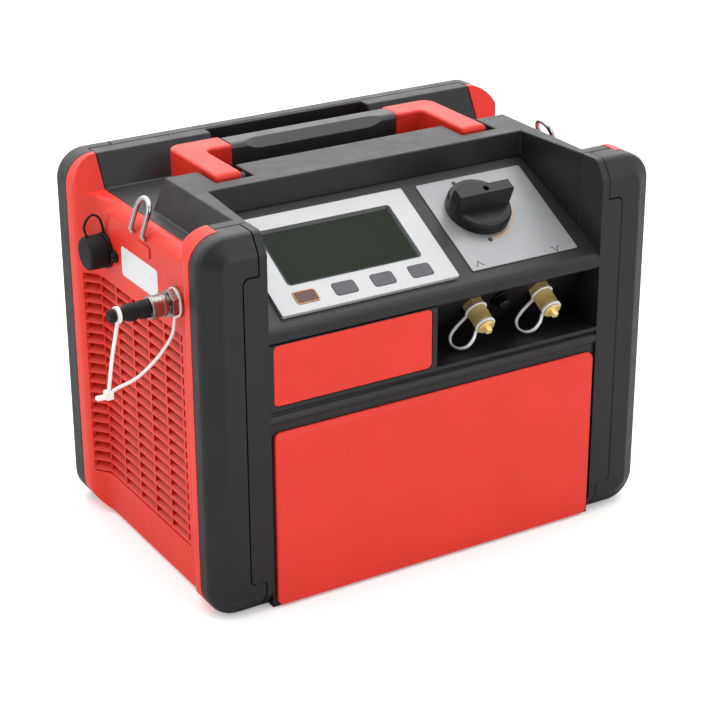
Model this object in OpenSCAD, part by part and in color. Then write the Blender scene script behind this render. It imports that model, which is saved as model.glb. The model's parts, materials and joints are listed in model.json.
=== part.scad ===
// Portable refrigerant recovery machine: a moulded housing with chamfered end bumpers, louvred
// side panels, an inclined control console, two capped hose ports and a folding carry handle.
// Millimetres, +Z up, the front faces -Y, origin on the underside at the middle of the housing.

/* [Housing] */
// Width across the side panels
body_w = 400; // [394:1:410]
// Depth from the front face to the rear face
body_d = 264; // [260:1:272]
// Height of the housing
body_h = 305; // [302:1:310]
// Wall of the moulded shells
wall = 3; // [2.6:0.1:3.2]
// Radius of the housing's corners in the front view
corner_r = 24; // [22:1:26]
// Gap at the seams between mouldings
seam = 0.6; // [0.4:0.1:0.8]
// Running clearance round a moving or inserted piece
gap = 0.35; // [0.3:0.05:0.5]

/* [Bumpers] */
// Inset of the bumper chamfer in the front view
chamfer_in = 15; // [13:0.5:16]
// Depth of the bumper chamfer
chamfer_y = 9.5; // [8:0.5:11]
// Straight side band of the front bumpers
front_band = 12; // [11:0.5:14]
// Straight side band of the rear bumpers
rear_band = 19; // [17:0.5:20]
// Straight top band of the front bumpers
front_top_band = 18; // [17:0.5:19]
// Straight top band of the rear bumpers
rear_top_band = 11; // [10:0.5:12]
// Half width of the middle frame at its top and bottom ends
frame_end_x = 155; // [154:0.5:158]
// Half width of the middle frame between its jogs
frame_mid_x = 168; // [164:0.5:170]
// Distance of the upper jog from the top
jog_top = 31; // [28:1:34]
// Distance of the lower jog from the bottom
jog_bottom = 25; // [22:1:28]
// Rounding of the jogs
jog_r = 5; // [3:0.5:6]

/* [Side panels] */
// Depth of the recessed field below the side bands
field_depth = 12; // [10:0.5:13]
// Length of the flat band beside the front bumper
front_upright = 10; // [8:0.5:12]
// Length of the flat band beside the rear bumper
rear_upright = 14; // [12:0.5:16]
// Length of the slopes between bands and field
field_slope = 15; // [13:0.5:17]
// Depth of the hand scoop below the top
scoop_depth = 25.5; // [24:0.5:27]
// Rounding of the panel's shoulder
shoulder_r = 10; // [7:0.5:11]
// Height of the lowest louvre
louvre_z = 37; // [34:1:44]
// Number of louvres
louvre_count = 20; // [16:1:20]
// Depth of a louvre behind the panel's face
louvre_depth = 7; // [6:0.5:8]
// Thickness of a louvre
louvre_t = 1.8; // [1.4:0.1:2.2]
// Distance between the louvres' cross ribs
rib_pitch = 28; // [26:1:30]
// Thickness of a cross rib
rib_t = 2; // [1.6:0.1:2.6]

/* [Top cover] */
// Place of the platform's rear edge behind the middle
platform_y = 15; // [12:1:18]
// Half width of the platform's top
platform_x = 155; // [154:0.5:157]
// Outward slope of the platform's sides
platform_slope = 10; // [8:0.5:12]
// Distance of the console's back wall from the front face
console_run = 102; // [100:0.5:103]
// Half width of the console at its front
recess_front_x = 148.5; // [147:0.5:149]
// Half width of the console at its back wall
recess_rear_x = 142; // [140:0.5:144]
// Length of the platform's shoulders behind the front bumpers
ear_l = 10; // [8:0.5:13]
// Forward slope of the rear bar's front face
rear_bar_slope = 15; // [12:0.5:16]
// Width of the finger notch in the rear bar
notch_w = 148; // [130:1:160]

/* [Console] */
// Slope of the console
console_deg = 28; // [27:0.5:29]
// Distance of the console's front edge below the top
lip_drop = 76; // [75:0.5:78]
// Height of the lip's front face
lip_h = 11; // [10:0.5:12]
// Width of the display bezel
bezel_w = 153.5; // [150:0.5:155]
// Length of the display bezel up the slope
bezel_l = 96; // [93:1:97]
// Middle of the display bezel
bezel_x = -56.2; // [-58:0.1:-55]
// Distance of the display bezel from the console's front edge
bezel_v = 9.3; // [8.5:0.1:10]
// Thickness of the display bezel
bezel_t = 3; // [2.6:0.1:3.4]
// Width of the display window
window_w = 116; // [112:1:118]
// Length of the display window
window_l = 55; // [50:1:56]
// Distance of the window from the bezel's front edge
window_v = 26.5; // [25:0.5:28]
// Width of a key
key_w = 19; // [17:0.5:20]
// Length of a key
key_l = 12; // [10:0.5:13]
// Distance between keys
key_pitch = 33.2; // [30:0.2:34]
// Travel of a key
key_travel = 0.8; // [0.6:0.1:0.9]
// Width of the selector's plate
dial_w = 99; // [96:1:101]
// Length of the selector's plate up the slope
dial_l = 94; // [92:0.5:95]
// Distance of the selector's plate from the console's front edge
dial_v = 12; // [11:0.5:13]
// Middle of the selector's plate
dial_x = 84.5; // [84:0.5:86]
// Thickness of the selector's plate
dial_t = 1.2; // [1:0.1:1.5]
// Distance of the selector from the middle of the machine
knob_x = 72; // [70:0.5:74]
// Distance of the selector up the slope
knob_v = 69; // [67:0.5:71]
// Diameter of the selector's skirt
knob_d = 53; // [48:0.5:54]
// Height of the selector
knob_h = 24.5; // [22:0.5:27]
// Diameter of the valve stem
stem_d = 8; // [7:0.5:9]

/* [Front] */
// Width of the large front panel
panel_w = 291; // [288:0.5:292]
// Height of the large panel above the ground
panel_bottom = 2; // [1.5:0.5:4]
// How far the large panel stands proud
panel_proud = 1.2; // [0.8:0.1:1.6]
// Radius of the half-round rail
rail_r = 7.5; // [7:0.1:7.6]
// Width of the small plate
badge_w = 137; // [132:1:138]
// Height of the small plate
badge_h = 48.5; // [47:0.5:49]
// Thickness of the small plate
badge_t = 2; // [1.6:0.1:2.4]

/* [Ports] */
// Downward tilt of the ports
port_deg = 32; // [30:0.5:34]
// Depth of the port wall behind the front face at its middle
port_depth = 28; // [27:0.5:29]
// Distance of the ports below the console's front edge
port_drop = 29; // [27:0.5:30]
// Place of the left port
port_x = 47; // [45:1:50]
// Distance between the ports
port_pitch = 63; // [58:1:66]
// Size across the flats of a port's hexagon
hex_af = 16; // [14:0.5:17]
// Height of a port's hexagon
hex_h = 5.5; // [5:0.5:7]
// Outer diameter of a port's flare thread
thread_d = 11.1; // [10.5:0.1:11.5]
// Length of the flare thread
thread_l = 9.5; // [9:0.5:10]
// Bore of a port
port_bore = 5; // [4:0.5:6]
// Outer diameter of a port cap
cap_d = 16; // [15:0.1:16.5]
// Length of a port cap
cap_l = 17; // [15:0.5:18]
// Diameter of the reset button
reset_d = 10; // [9:0.5:11]
// Travel of the reset button
reset_travel = 3; // [2:0.5:3.5]

/* [Side fittings] */
// Distance of the capped socket from the field's rear slope
socket_set = 14.9; // [14.5:0.1:16]
// Distance of the side fittings below the hand scoop
fitting_drop = 40.5; // [38:0.5:41]
// Diameter of the socket's barrel
socket_d = 21; // [20:0.5:22]
// Diameter of the socket's cap
socket_cap_d = 27; // [26:0.5:29]
// Length of the socket's cap
socket_cap_l = 15; // [14:0.5:16]
// Distance of the quick coupler from the field's front slope
coupler_set = 18.9; // [18:0.1:20]
// Diameter of the coupler's locking sleeve
sleeve_d = 17; // [16:0.5:18]
// Length of the locking sleeve
sleeve_l = 13; // [12:0.5:14]
// Travel of the locking sleeve
sleeve_travel = 2; // [1.5:0.1:2.2]
// Diameter of the dust plug's body
plug_d = 14; // [13:0.5:14.5]
// Wire of the strap hooks
hook_wire = 4; // [3.5:0.1:4.5]
// Width of a strap hook between its legs
hook_w = 20; // [18:0.5:22]
// Height of a strap hook above its feet
hook_h = 30; // [27:1:32]

/* [Handle] */
// Sideways offset of the handle in its slots
handle_shift = -2.6; // [-3:0.1:-2.2]
// Width of a handle arm
arm_w = 22; // [20:0.5:22.5]
// Height of a handle arm
arm_h = 21.6; // [20:0.2:22]
// Outer width of the handle
handle_w = 246; // [244:0.5:247]
// Distance from the pivot to the back of the crossbar
handle_reach = 75; // [72:0.5:78]
// Depth of the crossbar
crossbar_d = 25; // [23:0.5:27]
// Height of the crossbar
crossbar_h = 24; // [22:0.5:25]
// Length of the grip
grip_l = 153; // [145:1:158]
// Reach of the arms ahead of the pivot
arm_front = 11.5; // [11:0.5:12]
// How far the handle stands above the platform
handle_rise = 3.6; // [3:0.2:4.2]
// Diameter of the pivot pins
pin_d = 8; // [7:0.5:9]
// Width of a handle slot
slot_w = 32.4; // [32:0.2:33]

/* [Inside] */
// Diameter of the compressor's motor
motor_d = 104; // [96:1:110]
// Length of the motor
motor_l = 88; // [80:1:92]
// Height of the crankshaft
shaft_z = 84; // [80:1:90]
// Diameter of the cooling fan
fan_d = 144; // [138:1:146]
// Number of fan blades
fan_blades = 7; // [5:1:9]
// Height of the condenser
condenser_h = 178; // [160:1:190]

/* [Hidden] */
$fn = 48;
side_x = body_w / 2;
front_y = -body_d / 2;
rear_y = body_d / 2;
rim_x = side_x - corner_r;
field_x = side_x - field_depth;
front_seam_y = front_y + chamfer_y + front_band;
rear_seam_y = rear_y - chamfer_y - rear_band;
front_top_y = front_y + chamfer_y + front_top_band;
rear_top_y = rear_y - chamfer_y - rear_top_band;
scoop_z = body_h - scoop_depth;
charcoal = "#3c3d3f";
red = "#e23a2a";
nylon = "#ececec";
brass = "#c9a24a";
steel = "#c8cbcf";
black = "#1c1c1e";

// Bumper section: the chamfer's inner face lies one wall behind its outer face
chamfer_l = sqrt(chamfer_in * chamfer_in + chamfer_y * chamfer_y);
inner_s = chamfer_y + wall * (chamfer_l - chamfer_y) / chamfer_in;
inner_d = chamfer_in + wall * (chamfer_l - chamfer_in) / chamfer_y;
bumper_r = 6;
face_in = chamfer_in + bumper_r * tan(atan(chamfer_y / chamfer_in) / 2);

// Side panel plan, from the front edge to the rear edge
panel_y0 = front_seam_y + seam;
panel_y1 = panel_y0 + front_upright;
panel_y2 = panel_y1 + field_slope;
panel_y5 = rear_seam_y - seam;
panel_y4 = panel_y5 - rear_upright;
panel_y3 = panel_y4 - field_slope;
grille_front = 14;
grille_rear = 3;
grille_y0 = panel_y2 + grille_front;
grille_y1 = panel_y4 - grille_rear;
grille_clear = 66.5;
grille_top = scoop_z - grille_clear;
louvre_pitch = (grille_top - louvre_z) / louvre_count;
field_r = 16;
slope_deg = atan(field_depth / field_slope);

// Fits and small features shared by several pieces
fit = 0.15;
lap = 0.5;
tray_h = 20;
tongue_w = 12;
vent_count = 8;
vent_w = 150;
vent_h = 4;
vent_pitch = 10;
vent_z = 60;
louvre_slope = 0.8;
louvre_set = 0.3;
louvre_lift = 1;
louvre_lap = 2;
rib_set = 0.6;

// Top cover
cover_y0 = front_top_y + seam;
cover_y1 = rear_top_y - seam;
cover_x = rim_x - seam;
rear_bar_set = 6;
rear_bar_y = rear_seam_y - rear_bar_set;
cover_skirt = 8;
ear_y = cover_y0 + ear_l;
ear_slope = 4;
platform_back = 4;
notch_z = 6;

// Console
lip_z = body_h - lip_drop;
recess_y = -front_y - console_run;
bezel_r = 1.5;
window_r = 2;
window_shift = -0.6;
window_t = 1.2;
window_x = bezel_x + window_shift;
key_shift = -0.9;
key_x = bezel_x + key_shift;
key_v = bezel_v + window_v / 2;
key_r = 2.5;
console_l = (console_run + wall) / cos(console_deg);
lip_r = 6;
lip_low_r = 2.5;
deck_v = 8;
stem_l = 30;
stem_grip = 12;
valve_d = 34;
valve_l = 24;
valve_arm = 46;
valve_arm_d = 12;
knob_lift = dial_t + gap;
skirt_h = 9.7;
skirt_edge = 5.8;
skirt_round = 1.5;
skirt_set = 5;
bar_foot = 19.5;
bar_ridge = 9.3;
bar_nose = 24.2;
bar_toe = 19.4;
bar_heel = 0.7;
knob_screw_d = 5;
knob_screw_l = 4;

// Front
badge_room = 0.75;
rail_gap = 4;
shelf_step = 2;
shelf_z = lip_z - lip_h - badge_h - 2 * badge_room;
rail_z = shelf_z - shelf_step - rail_r;
panel_top = rail_z - rail_r - rail_gap;
panel_bevel_h = 4.5;
panel_bevel_d = 2.2;
bulkhead_in = 2.6;
bulkhead_y = front_y + bulkhead_in;
bay_run = 22;
bay_back_y = front_y + port_depth + bay_run;
bay_reach = 40;
lip_back = 16;
pocket_lift = 0.2;
panel_r = 5;
badge_r = 4;
badge_gap = 4.5;
badge_side = 3.5;
badge_x = badge_side - recess_front_x + badge_w / 2;
badge_z = shelf_z + badge_room + badge_h / 2;
divider_x = badge_x + badge_w / 2 + badge_gap;

// Ports
port_z = lip_z - port_drop;
washer_t = 1.6;
washer_r = 9.4;
cap_z = hex_h + washer_t + gap;
ring_t = 1.8;
ring_r = 8.4;
groove_w = ring_t + 2 * gap;
cap_crown = 1.8;
groove_z = cap_l - cap_crown - groove_w;
groove_r = 5.4;
cap_edge = 0.6;
cap_step = 0.8;
seat_gap = 0.6;
flare_l = 3;
nib_w = 4.6;
nib_l = 4.5;
tail_d = 12.5;
tail_l = 10;
strap_turn = 222;
strap_w = 3.2;
strap_t = 1.4;
strap_set = 0.8;
strap_lead = strap_t / 2 * sin(45);
cap_strap_route = [[14, 7.6], [21, 9.4], [28, 13], [30.4, 19.4], [27, 26], [20.6, 28.4], [13.4, 26]];
reset_share = 0.41;
reset_x = port_x + port_pitch * reset_share;
reset_out = 9;
reset_edge = 1;
reset_in = 8;
switch_d = 14;
switch_l = 18;
switch_rim = 1;
switch_rim_h = 2.5;
manifold_t = 30;
manifold_w = 34;
manifold_margin = 18;

// Side fittings, measured outward from the panel's field
socket_y = panel_y3 - socket_set;
socket_z = scoop_z - fitting_drop;
socket_flange = 29;
socket_flange_t = 3;
lug_r = 4.5;
lug_at = 18.6;
lug_hole = 3.4;
socket_wall = 2.5;
socket_cap_edge = 1.5;
socket_barrel = 11;
socket_tail = 20;
tether_d = 1.8;
tether_set = 3;
tether_route = [[21, 17.5], [28, 14.5], [30.5, 9.5], [27, 4.5], [19.5, 2]];
coupler_y = -panel_y2 - coupler_set;
coupler_z = scoop_z - fitting_drop;
coupler_flange_t = 2;
coupler_flange_d = 23;
coupler_bore = 13;
coupler_tail = 14;
strap_base_t = 1.6;
nut_h = 5;
nut_af = 20;
stem_back = 2;
sleeve_rib = 0.7;
sleeve_rib_w = 2;
sleeve_rib_set = 1;
sleeve_out = coupler_flange_t + strap_base_t + fit + nut_h + sleeve_travel + gap;
plug_out = sleeve_out + sleeve_l;
plug_pin_d = 7.6;
plug_pin_l = 12;
plug_body = 21.5;
plug_neck = 5;
neck_d = 7;
plug_knob = 5;
plug_knob_r = 5.5;
plug_knob_edge = 1.5;
plug_waist = 1;
waist_z = 6.5;
waist_l = 3.4;
waist_run = 1.3;
plug_taper_z = 16;
neck_set = 0.3;
tie_ring_t = 3;
tie_ring_w = 2.6;
tie_t = 2.1;
tie_return_t = 1.5;
tie_w = 3.4;
tie_set = 0.7;
tie_lock = [7, 6, 5];
tie_tail = [3, 8, 3.4];
tie_tail_at = [-1, 6, 0];
tie_head = [-61, 59];
tie_drop = [[-35, 55]];
tie_return = [[-57.5, 52], [-53.5, 37], [-45.5, 24], [-36, 13.5], [-25, 5.5]];
hook_drop = 8.5;
hook_z = scoop_z - hook_drop;
hook_y = -4.6;
hook_lean = 20.5;
boss = [0.7, 19, 9];
boss_at = [-7.6, -9];
hook_out = 1.8;
wire_step = 0.1;

// Handle
pivot_z = body_h + handle_rise - arm_h / 2;
slot_x1 = 127.6;
slot_x0 = slot_x1 - slot_w;
slot_room = 3.6;
slot_front = arm_front + slot_room;
slot_run = 6;
pocket_drop = 13.2;
pocket_z = pivot_z - pocket_drop;
rest_l = 3;
arm_x = handle_w / 2 - arm_w;
arm_top_r = 4;
arm_low_r = 8;
corner_out = 11;
corner_in = 6;
grip_inset = 1.5;
grip_r = 4.5;
scoop_r = 40;
scoop_l = 96;
scoop_cut = 5;
finger_r = 22;
finger_cut = 2.2;
finger_pitch = 33.3;
bush_wall = 1.6;

// Inside
floor_z = wall;
crank_x = -6;
crank_w = 66;
crank_d = 88;
cylinder_r = 26;
cylinder_h = 83;
fin_count = 5;
fin_w = 5;
fin_t = 3;
fin_pitch = 7;
fin_start = 42;
vee_deg = 45;
foot_w = 12;
foot_at = 29;
motor_x = crank_x + crank_w / 2;
motor_drum_l = 70;
motor_end_d = 83;
motor_rib = [4, 2, 62];
rib_step = 20;
bearing_l = 20;
shaft_d = 10;
shaft_out = 20;
fan_gap = 16;
fan_x = motor_x + motor_l + fan_gap;
fan_w = 20;
fan_hub = 42;
blade_w = 34;
blade_t = 2;
blade_deg = 35;
blade_root = 2;
shroud_margin = 10;
shroud_gap = 4;
shroud_set = 4;
condenser_gap = 12;
condenser_x = -field_x + louvre_depth + condenser_gap;
condenser_t = 24;
condenser_room = 4.9;
condenser_l = 2 * (rear_seam_y - seam - wall - condenser_room);
end_plate_t = 2;
plate_fins = 24;
plate_fin_t = 0.8;
plate_fin_set = 4;
tube_d = 7;
tube_rows = 6;
tube_over = 4;

// A box between two corners
module box(a, b) {
  translate(a)
    cube(b - a);
}

// A rectangle with round corners, centred
module round_rect(w, h, r) {
  square([w - 2 * r, h], center = true);
  square([w, h - 2 * r], center = true);
  for (x = [-1, 1], y = [-1, 1])
    translate([x * (w / 2 - r), y * (h / 2 - r)])
      circle(r);
}

// A profile drawn in Y and Z, extruded along X from x0 to x1
module along_x(x0, x1) {
  translate([x0, 0, 0])
    rotate([90, 0, 90])
      linear_extrude(x1 - x0)
        children();
}

// A profile drawn in X and Z, extruded along Y from y0 to y1
module along_y(y0, y1) {
  translate([0, y1, 0])
    rotate([90, 0, 0])
      linear_extrude(y1 - y0)
        children();
}

// The right-hand twin of a left-hand piece
module twin() {
  mirror([1, 0, 0])
    children();
}

// Places children on the console: X across, Y up the slope, Z out of it
module on_console() {
  translate([0, front_y, lip_z])
    rotate([console_deg, 0, 0])
      children();
}

// Places children on the port wall: Z along the ports
module on_ports() {
  translate([0, front_y + port_depth, port_z])
    rotate([90 + port_deg, 0, 0])
      children();
}

// Places children on the left side field: Z outward
module on_side(y, z) {
  translate([-field_x, y, z])
    rotate([0, -90, 0])
      children();
}

// Points of a smooth path through hand-set points
function blend_at(p, i, t) =
  let (a = p[max(i - 1, 0)], b = p[i], c = p[i + 1], d = p[min(i + 2, len(p) - 1)])
  b + t * (c - a) / 2 + t * t * (a - 2.5 * b + 2 * c - d / 2)
    + t * t * t * (1.5 * b - 1.5 * c + d / 2 - a / 2);
function smooth_path(p, n) = [
  for (i = [0 : len(p) - 2], k = [0 : n - 1]) blend_at(p, i, k / n),
  p[len(p) - 1]
];

// Points of an arc of radius r that rounds the corner b between a and c
function soft_corner(a, b, c, r, n = 4) =
  let (
    u = (a - b) / norm(a - b),
    w = (c - b) / norm(c - b),
    half = acos(u * w) / 2,
    turn = 180 - 2 * half,
    mid = b + (u + w) / norm(u + w) * r / sin(half),
    d0 = b + u * r / tan(half) - mid,
    d1 = b + w * r / tan(half) - mid
  )
  [for (k = [0 : n]) mid + (sin(turn - turn * k / n) * d0 + sin(turn * k / n) * d1) / sin(turn)];

// A strap of oval section along a path in the XY plane
module strap_along(points, thick, width, steps = 4) {
  path = smooth_path(points, steps);
  sides = 8;
  last = len(path) - 1;
  rings = [
    for (i = [0 : last], k = [0 : sides - 1])
      let (
        run = path[min(i + 1, last)] - path[max(i - 1, 0)],
        n = [-run[1], run[0]] / norm(run),
        a = 360 * (k + 0.5) / sides,
        q = path[i] + n * cos(a) * thick / 2
      ) [q[0], q[1], sin(a) * width / 2]
  ];
  skin = [
    for (i = [0 : last - 1], k = [0 : sides - 1])
      let (j = (k + 1) % sides)
        [i * sides + k, (i + 1) * sides + k, (i + 1) * sides + j, i * sides + j]
  ];
  near = [for (k = [0 : sides - 1]) k];
  far = [for (k = [sides - 1 : -1 : 0]) last * sides + k];
  polyhedron(rings, concat(skin, [near, far]), convexity = 8);
}

// Bumpers

// Outer line of a bumper's section: X is the distance inward, Y the distance from the face
function bumper_skin(band) =
  let (end = [0, chamfer_y + band], bend = [0, chamfer_y], brow = [chamfer_in, 0])
  concat(
    [end], soft_corner(end, bend, brow, bumper_r),
    soft_corner(bend, brow, [chamfer_in + wall, 0], bumper_r)
  );

// Section across a bumper, one wall thick
function bumper_section(band) = concat(
  bumper_skin(band),
  [[chamfer_in + wall, 0], [chamfer_in + wall, wall], [inner_d, wall], [wall, inner_s],
   [wall, chamfer_y + band]]
);

module bumper_corner(start, band) {
  rotate([-90, 0, 0])
    rotate([0, 0, start])
      rotate_extrude(angle = 90, $fn = 72)
        polygon([for (p = bumper_section(band)) [corner_r - p[0], p[1]]]);
}

// Straight stretch of bumper section along the top or the bottom edge
module bumper_bar(x0, x1, band, top) {
  translate([0, front_y, top ? body_h : 0])
    along_x(x0, x1)
      polygon([for (p = bumper_section(band)) [p[1], top ? -p[0] : p[0]]]);
}

// Left half of the middle frame's outline in the front view, moved outward by grow
module frame_outline(grow) {
  end = frame_end_x + grow;
  mid = frame_mid_x + grow;
  low = jog_bottom - grow;
  high = body_h - jog_top + grow;
  difference() {
    union() {
      translate([-end, 0])
        square([end, body_h]);
      translate([-mid, low])
        square([mid, high - low]);
    }
    for (z = [low, high])
      translate([-mid, z])
        mirror([0, z == low ? 0 : 1])
          difference() {
            square(jog_r);
            translate([jog_r, jog_r])
              circle(jog_r);
          }
  }
}

// The bumper's front face, up to the seam of the middle frame
module bumper_face() {
  edge = frame_end_x + seam / 2;
  difference() {
    intersection() {
      translate([0, body_h / 2])
        round_rect(body_w - 2 * face_in, body_h - 2 * face_in, corner_r - face_in);
      translate([-side_x, 0])
        square([side_x - edge, body_h]);
    }
    frame_outline(seam / 2);
  }
}

// Left front bumper; the other three are its twins
module bumper(band, top_band) {
  edge = frame_end_x + seam / 2;
  color(charcoal) {
    translate([-side_x, front_y, corner_r])
      linear_extrude(body_h - 2 * corner_r)
        polygon(bumper_section(band));
    translate([-rim_x, front_y, body_h - corner_r])
      bumper_corner(180, band);
    translate([-rim_x, front_y, corner_r])
      bumper_corner(90, band);
    bumper_bar(-rim_x, -edge, top_band, true);
    bumper_bar(-rim_x, -edge, band, false);
    along_y(front_y, front_y + wall)
      bumper_face();
  }
}

module front_bumper_left() {
  bumper(front_band, front_top_band);
}

module front_bumper_right() {
  twin()
    bumper(front_band, front_top_band);
}

module rear_bumper_left() {
  mirror([0, 1, 0])
    bumper(rear_band, rear_top_band);
}

module rear_bumper_right() {
  twin()
    rear_bumper_left();
}

// Base and rear

module base_tray() {
  x = rim_x - seam;
  y0 = front_seam_y + seam;
  y1 = rear_seam_y - seam;
  color(charcoal) {
    box([-x, y0, 0], [x, y1, wall]);
    for (s = [-1, 1])
      translate([s * (x - wall / 2), (y0 + y1) / 2, tray_h / 2])
        cube([wall, y1 - y0, tray_h], center = true);
    for (y = [y0, y1 - wall])
      box([-x, y, 0], [x, y + wall, tray_h]);
  }
}

module rear_panel() {
  edge = frame_end_x - seam / 2;
  color(charcoal)
    mirror([0, 1, 0]) {
      bumper_bar(-edge, edge, rear_top_band, true);
      bumper_bar(-edge, edge, rear_band, false);
      difference() {
        along_y(front_y, front_y + wall)
          for (s = [0, 1])
            mirror([s, 0])
              intersection() {
                frame_outline(-seam / 2);
                translate([-side_x, face_in])
                  square([side_x, body_h - 2 * face_in]);
              }
        for (i = [0 : vent_count - 1])
          box([-vent_w / 2, front_y - 1, vent_z + i * vent_pitch],
              [vent_w / 2, front_y + wall + 1, vent_z + i * vent_pitch + vent_h]);
      }
      for (s = [-1, 1])
        translate([s * frame_mid_x, front_y + wall * 1.5, body_h / 2])
          cube([tongue_w, wall, body_h - 2 * (jog_top + jog_r)], center = true);
    }
}

// Side panels

// Opening of the hand scoop in the side view, one wall larger for the panel's inside
module scoop_outline(t) {
  polygon([
    [ear_y - t, body_h + 1], [ear_y + ear_slope - t, scoop_z - t],
    [rear_bar_y - rear_bar_slope + t, scoop_z - t], [rear_bar_y + t, body_h + 1]
  ]);
}

// Solid inside the left panel's skin, set in by t
module panel_solid(t) {
  over = t > 0 ? 1 : 0;
  r = shoulder_r - t;
  plan = [
    [-side_x + t, panel_y0 - over], [-side_x + t, panel_y1], [-field_x + t, panel_y2],
    [-field_x + t, panel_y3], [-side_x + t, panel_y4], [-side_x + t, panel_y5 + over]
  ];
  difference() {
    intersection() {
      along_y(panel_y0 - over, panel_y5 + over) {
        translate([-side_x + t, corner_r])
          square([corner_r + over - t, body_h - 2 * corner_r]);
        for (z = [corner_r, body_h - corner_r])
          translate([-rim_x, z])
            circle(corner_r - t, $fn = 72);
      }
      linear_extrude(body_h)
        polygon(concat(
          [plan[0]],
          [for (i = [1 : 4]) each soft_corner(plan[i - 1], plan[i], plan[i + 1], field_r)],
          [plan[5], [-rim_x + over, panel_y5 + over], [-rim_x + over, panel_y0 - over]]
        ));
    }
    along_x(-side_x - 1, -rim_x + 2)
      scoop_outline(t);
    along_y(panel_y2, panel_y3)
      translate([-field_x + t, scoop_z - t])
        difference() {
          translate([-1, -r])
            square([r + 1, r + 1]);
          translate([r, -r])
            circle(r);
        }
  }
}

// Section of one louvre: its outer edge is low and it rises inward
module louvre_section() {
  rise = louvre_depth * louvre_slope;
  polygon([
    [louvre_set, 0], [louvre_set, louvre_t], [louvre_depth, rise + louvre_t], [louvre_depth, rise]
  ]);
}

module louvres() {
  slope_l = (grille_y1 - panel_y3) / cos(slope_deg) + louvre_lap;
  back = louvre_depth + rib_set - field_x;
  for (i = [0 : louvre_count - 1])
    translate([-field_x, 0, louvre_z + louvre_lift + i * louvre_pitch]) {
      along_y(grille_y0 - louvre_lap / 2, panel_y3 + louvre_lap)
        louvre_section();
      translate([0, panel_y3, 0])
        rotate([0, 0, slope_deg])
          along_y(0, slope_l)
            louvre_section();
    }
  for (y = [panel_y3 : -rib_pitch : grille_y0])
    box([-field_x + rib_set, y - rib_t / 2, louvre_z - 1],
        [back, y + rib_t / 2, grille_top + 1]);
  for (z = [louvre_z - rib_t, grille_top])
    box([-field_x + rib_set, grille_y0 - rib_t, z], [back, panel_y3, z + rib_t]);
  box([-field_x + rib_set, grille_y0 - rib_t, louvre_z - rib_t],
      [back, grille_y0, grille_top + rib_t]);
}

module side_panel() {
  difference() {
    panel_solid(0);
    panel_solid(wall);
    box([-side_x - 1, grille_y0, louvre_z], [-rim_x + 4, grille_y1, grille_top]);
    for (y = [hook_y - hook_w / 2, hook_y + hook_w / 2])
      on_side(y, hook_z)
        translate([0, 0, -wall - 1])
          cylinder(d = hook_wire + 2 * fit, h = wall + 2);
  }
  louvres();
  translate([-field_x - boss[0] / 2, hook_y + boss_at[0], hook_z + boss_at[1]])
    cube(boss + [boss[0], 0, 0], center = true);
}

module side_panel_left() {
  color(red)
    difference() {
      side_panel();
      on_side(socket_y, socket_z) {
        translate([0, 0, -wall - 1])
          cylinder(d = socket_d + 2 * fit, h = wall + 2);
        cylinder(d = socket_flange + 2 * gap, h = field_depth);
      }
      on_side(-coupler_y, coupler_z)
        translate([0, 0, -wall - 1])
          cylinder(d = coupler_bore + 2 * fit, h = wall + 2);
    }
}

module side_panel_right() {
  color(red)
    twin()
      side_panel();
}

// A bent wire eye: two feet in the panel, two leaning legs and a half-round top
module strap_hook() {
  r = hook_w / 2;
  leg = hook_h / cos(hook_lean) - r - hook_wire / 2;
  on_side(hook_y, hook_z)
    for (s = [-1, 1])
      translate([0, s * r, -wall - 2])
        cylinder(d = hook_wire, h = wall + 2 + hook_out + hook_wire / 2);
  translate([-field_x - hook_out - hook_wire / 2, hook_y, hook_z])
    rotate([0, hook_lean, 0]) {
      for (s = [-1, 1])
        translate([0, s * r, 0]) {
          sphere(d = hook_wire + wire_step);
          cylinder(d = hook_wire, h = leg);
        }
      translate([0, 0, leg])
        rotate([90, 0, 90])
          rotate_extrude(angle = 180)
            translate([r, 0])
              circle(d = hook_wire - wire_step);
    }
}

module strap_hook_left() {
  color(steel)
    strap_hook();
}

module strap_hook_right() {
  color(steel)
    twin()
      strap_hook();
}

// Top cover

// Height of the console's surface at a depth y
function console_at(y) = lip_z + (y - front_y) * tan(console_deg);

// Plan of the console's recess, moved outward by grow
module recess_plan(grow) {
  polygon([
    [-recess_front_x - grow, cover_y0], [-recess_rear_x - grow, grow - recess_y],
    [recess_rear_x + grow, grow - recess_y], [recess_front_x + grow, cover_y0]
  ]);
}

// Everything above the console's surface, up to height top
module above_console(top) {
  along_x(-side_x, side_x)
    polygon([
      [front_y, console_at(front_y)], [0, console_at(0)], [0, top], [front_y, top]
    ]);
}

module handle_pockets(out, run, low, high) {
  for (s = [0, 1])
    mirror([s, 0, 0])
      box([slot_x0 - out, -slot_front - out, low], [slot_x1 + out, platform_y + run, high]);
}

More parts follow.
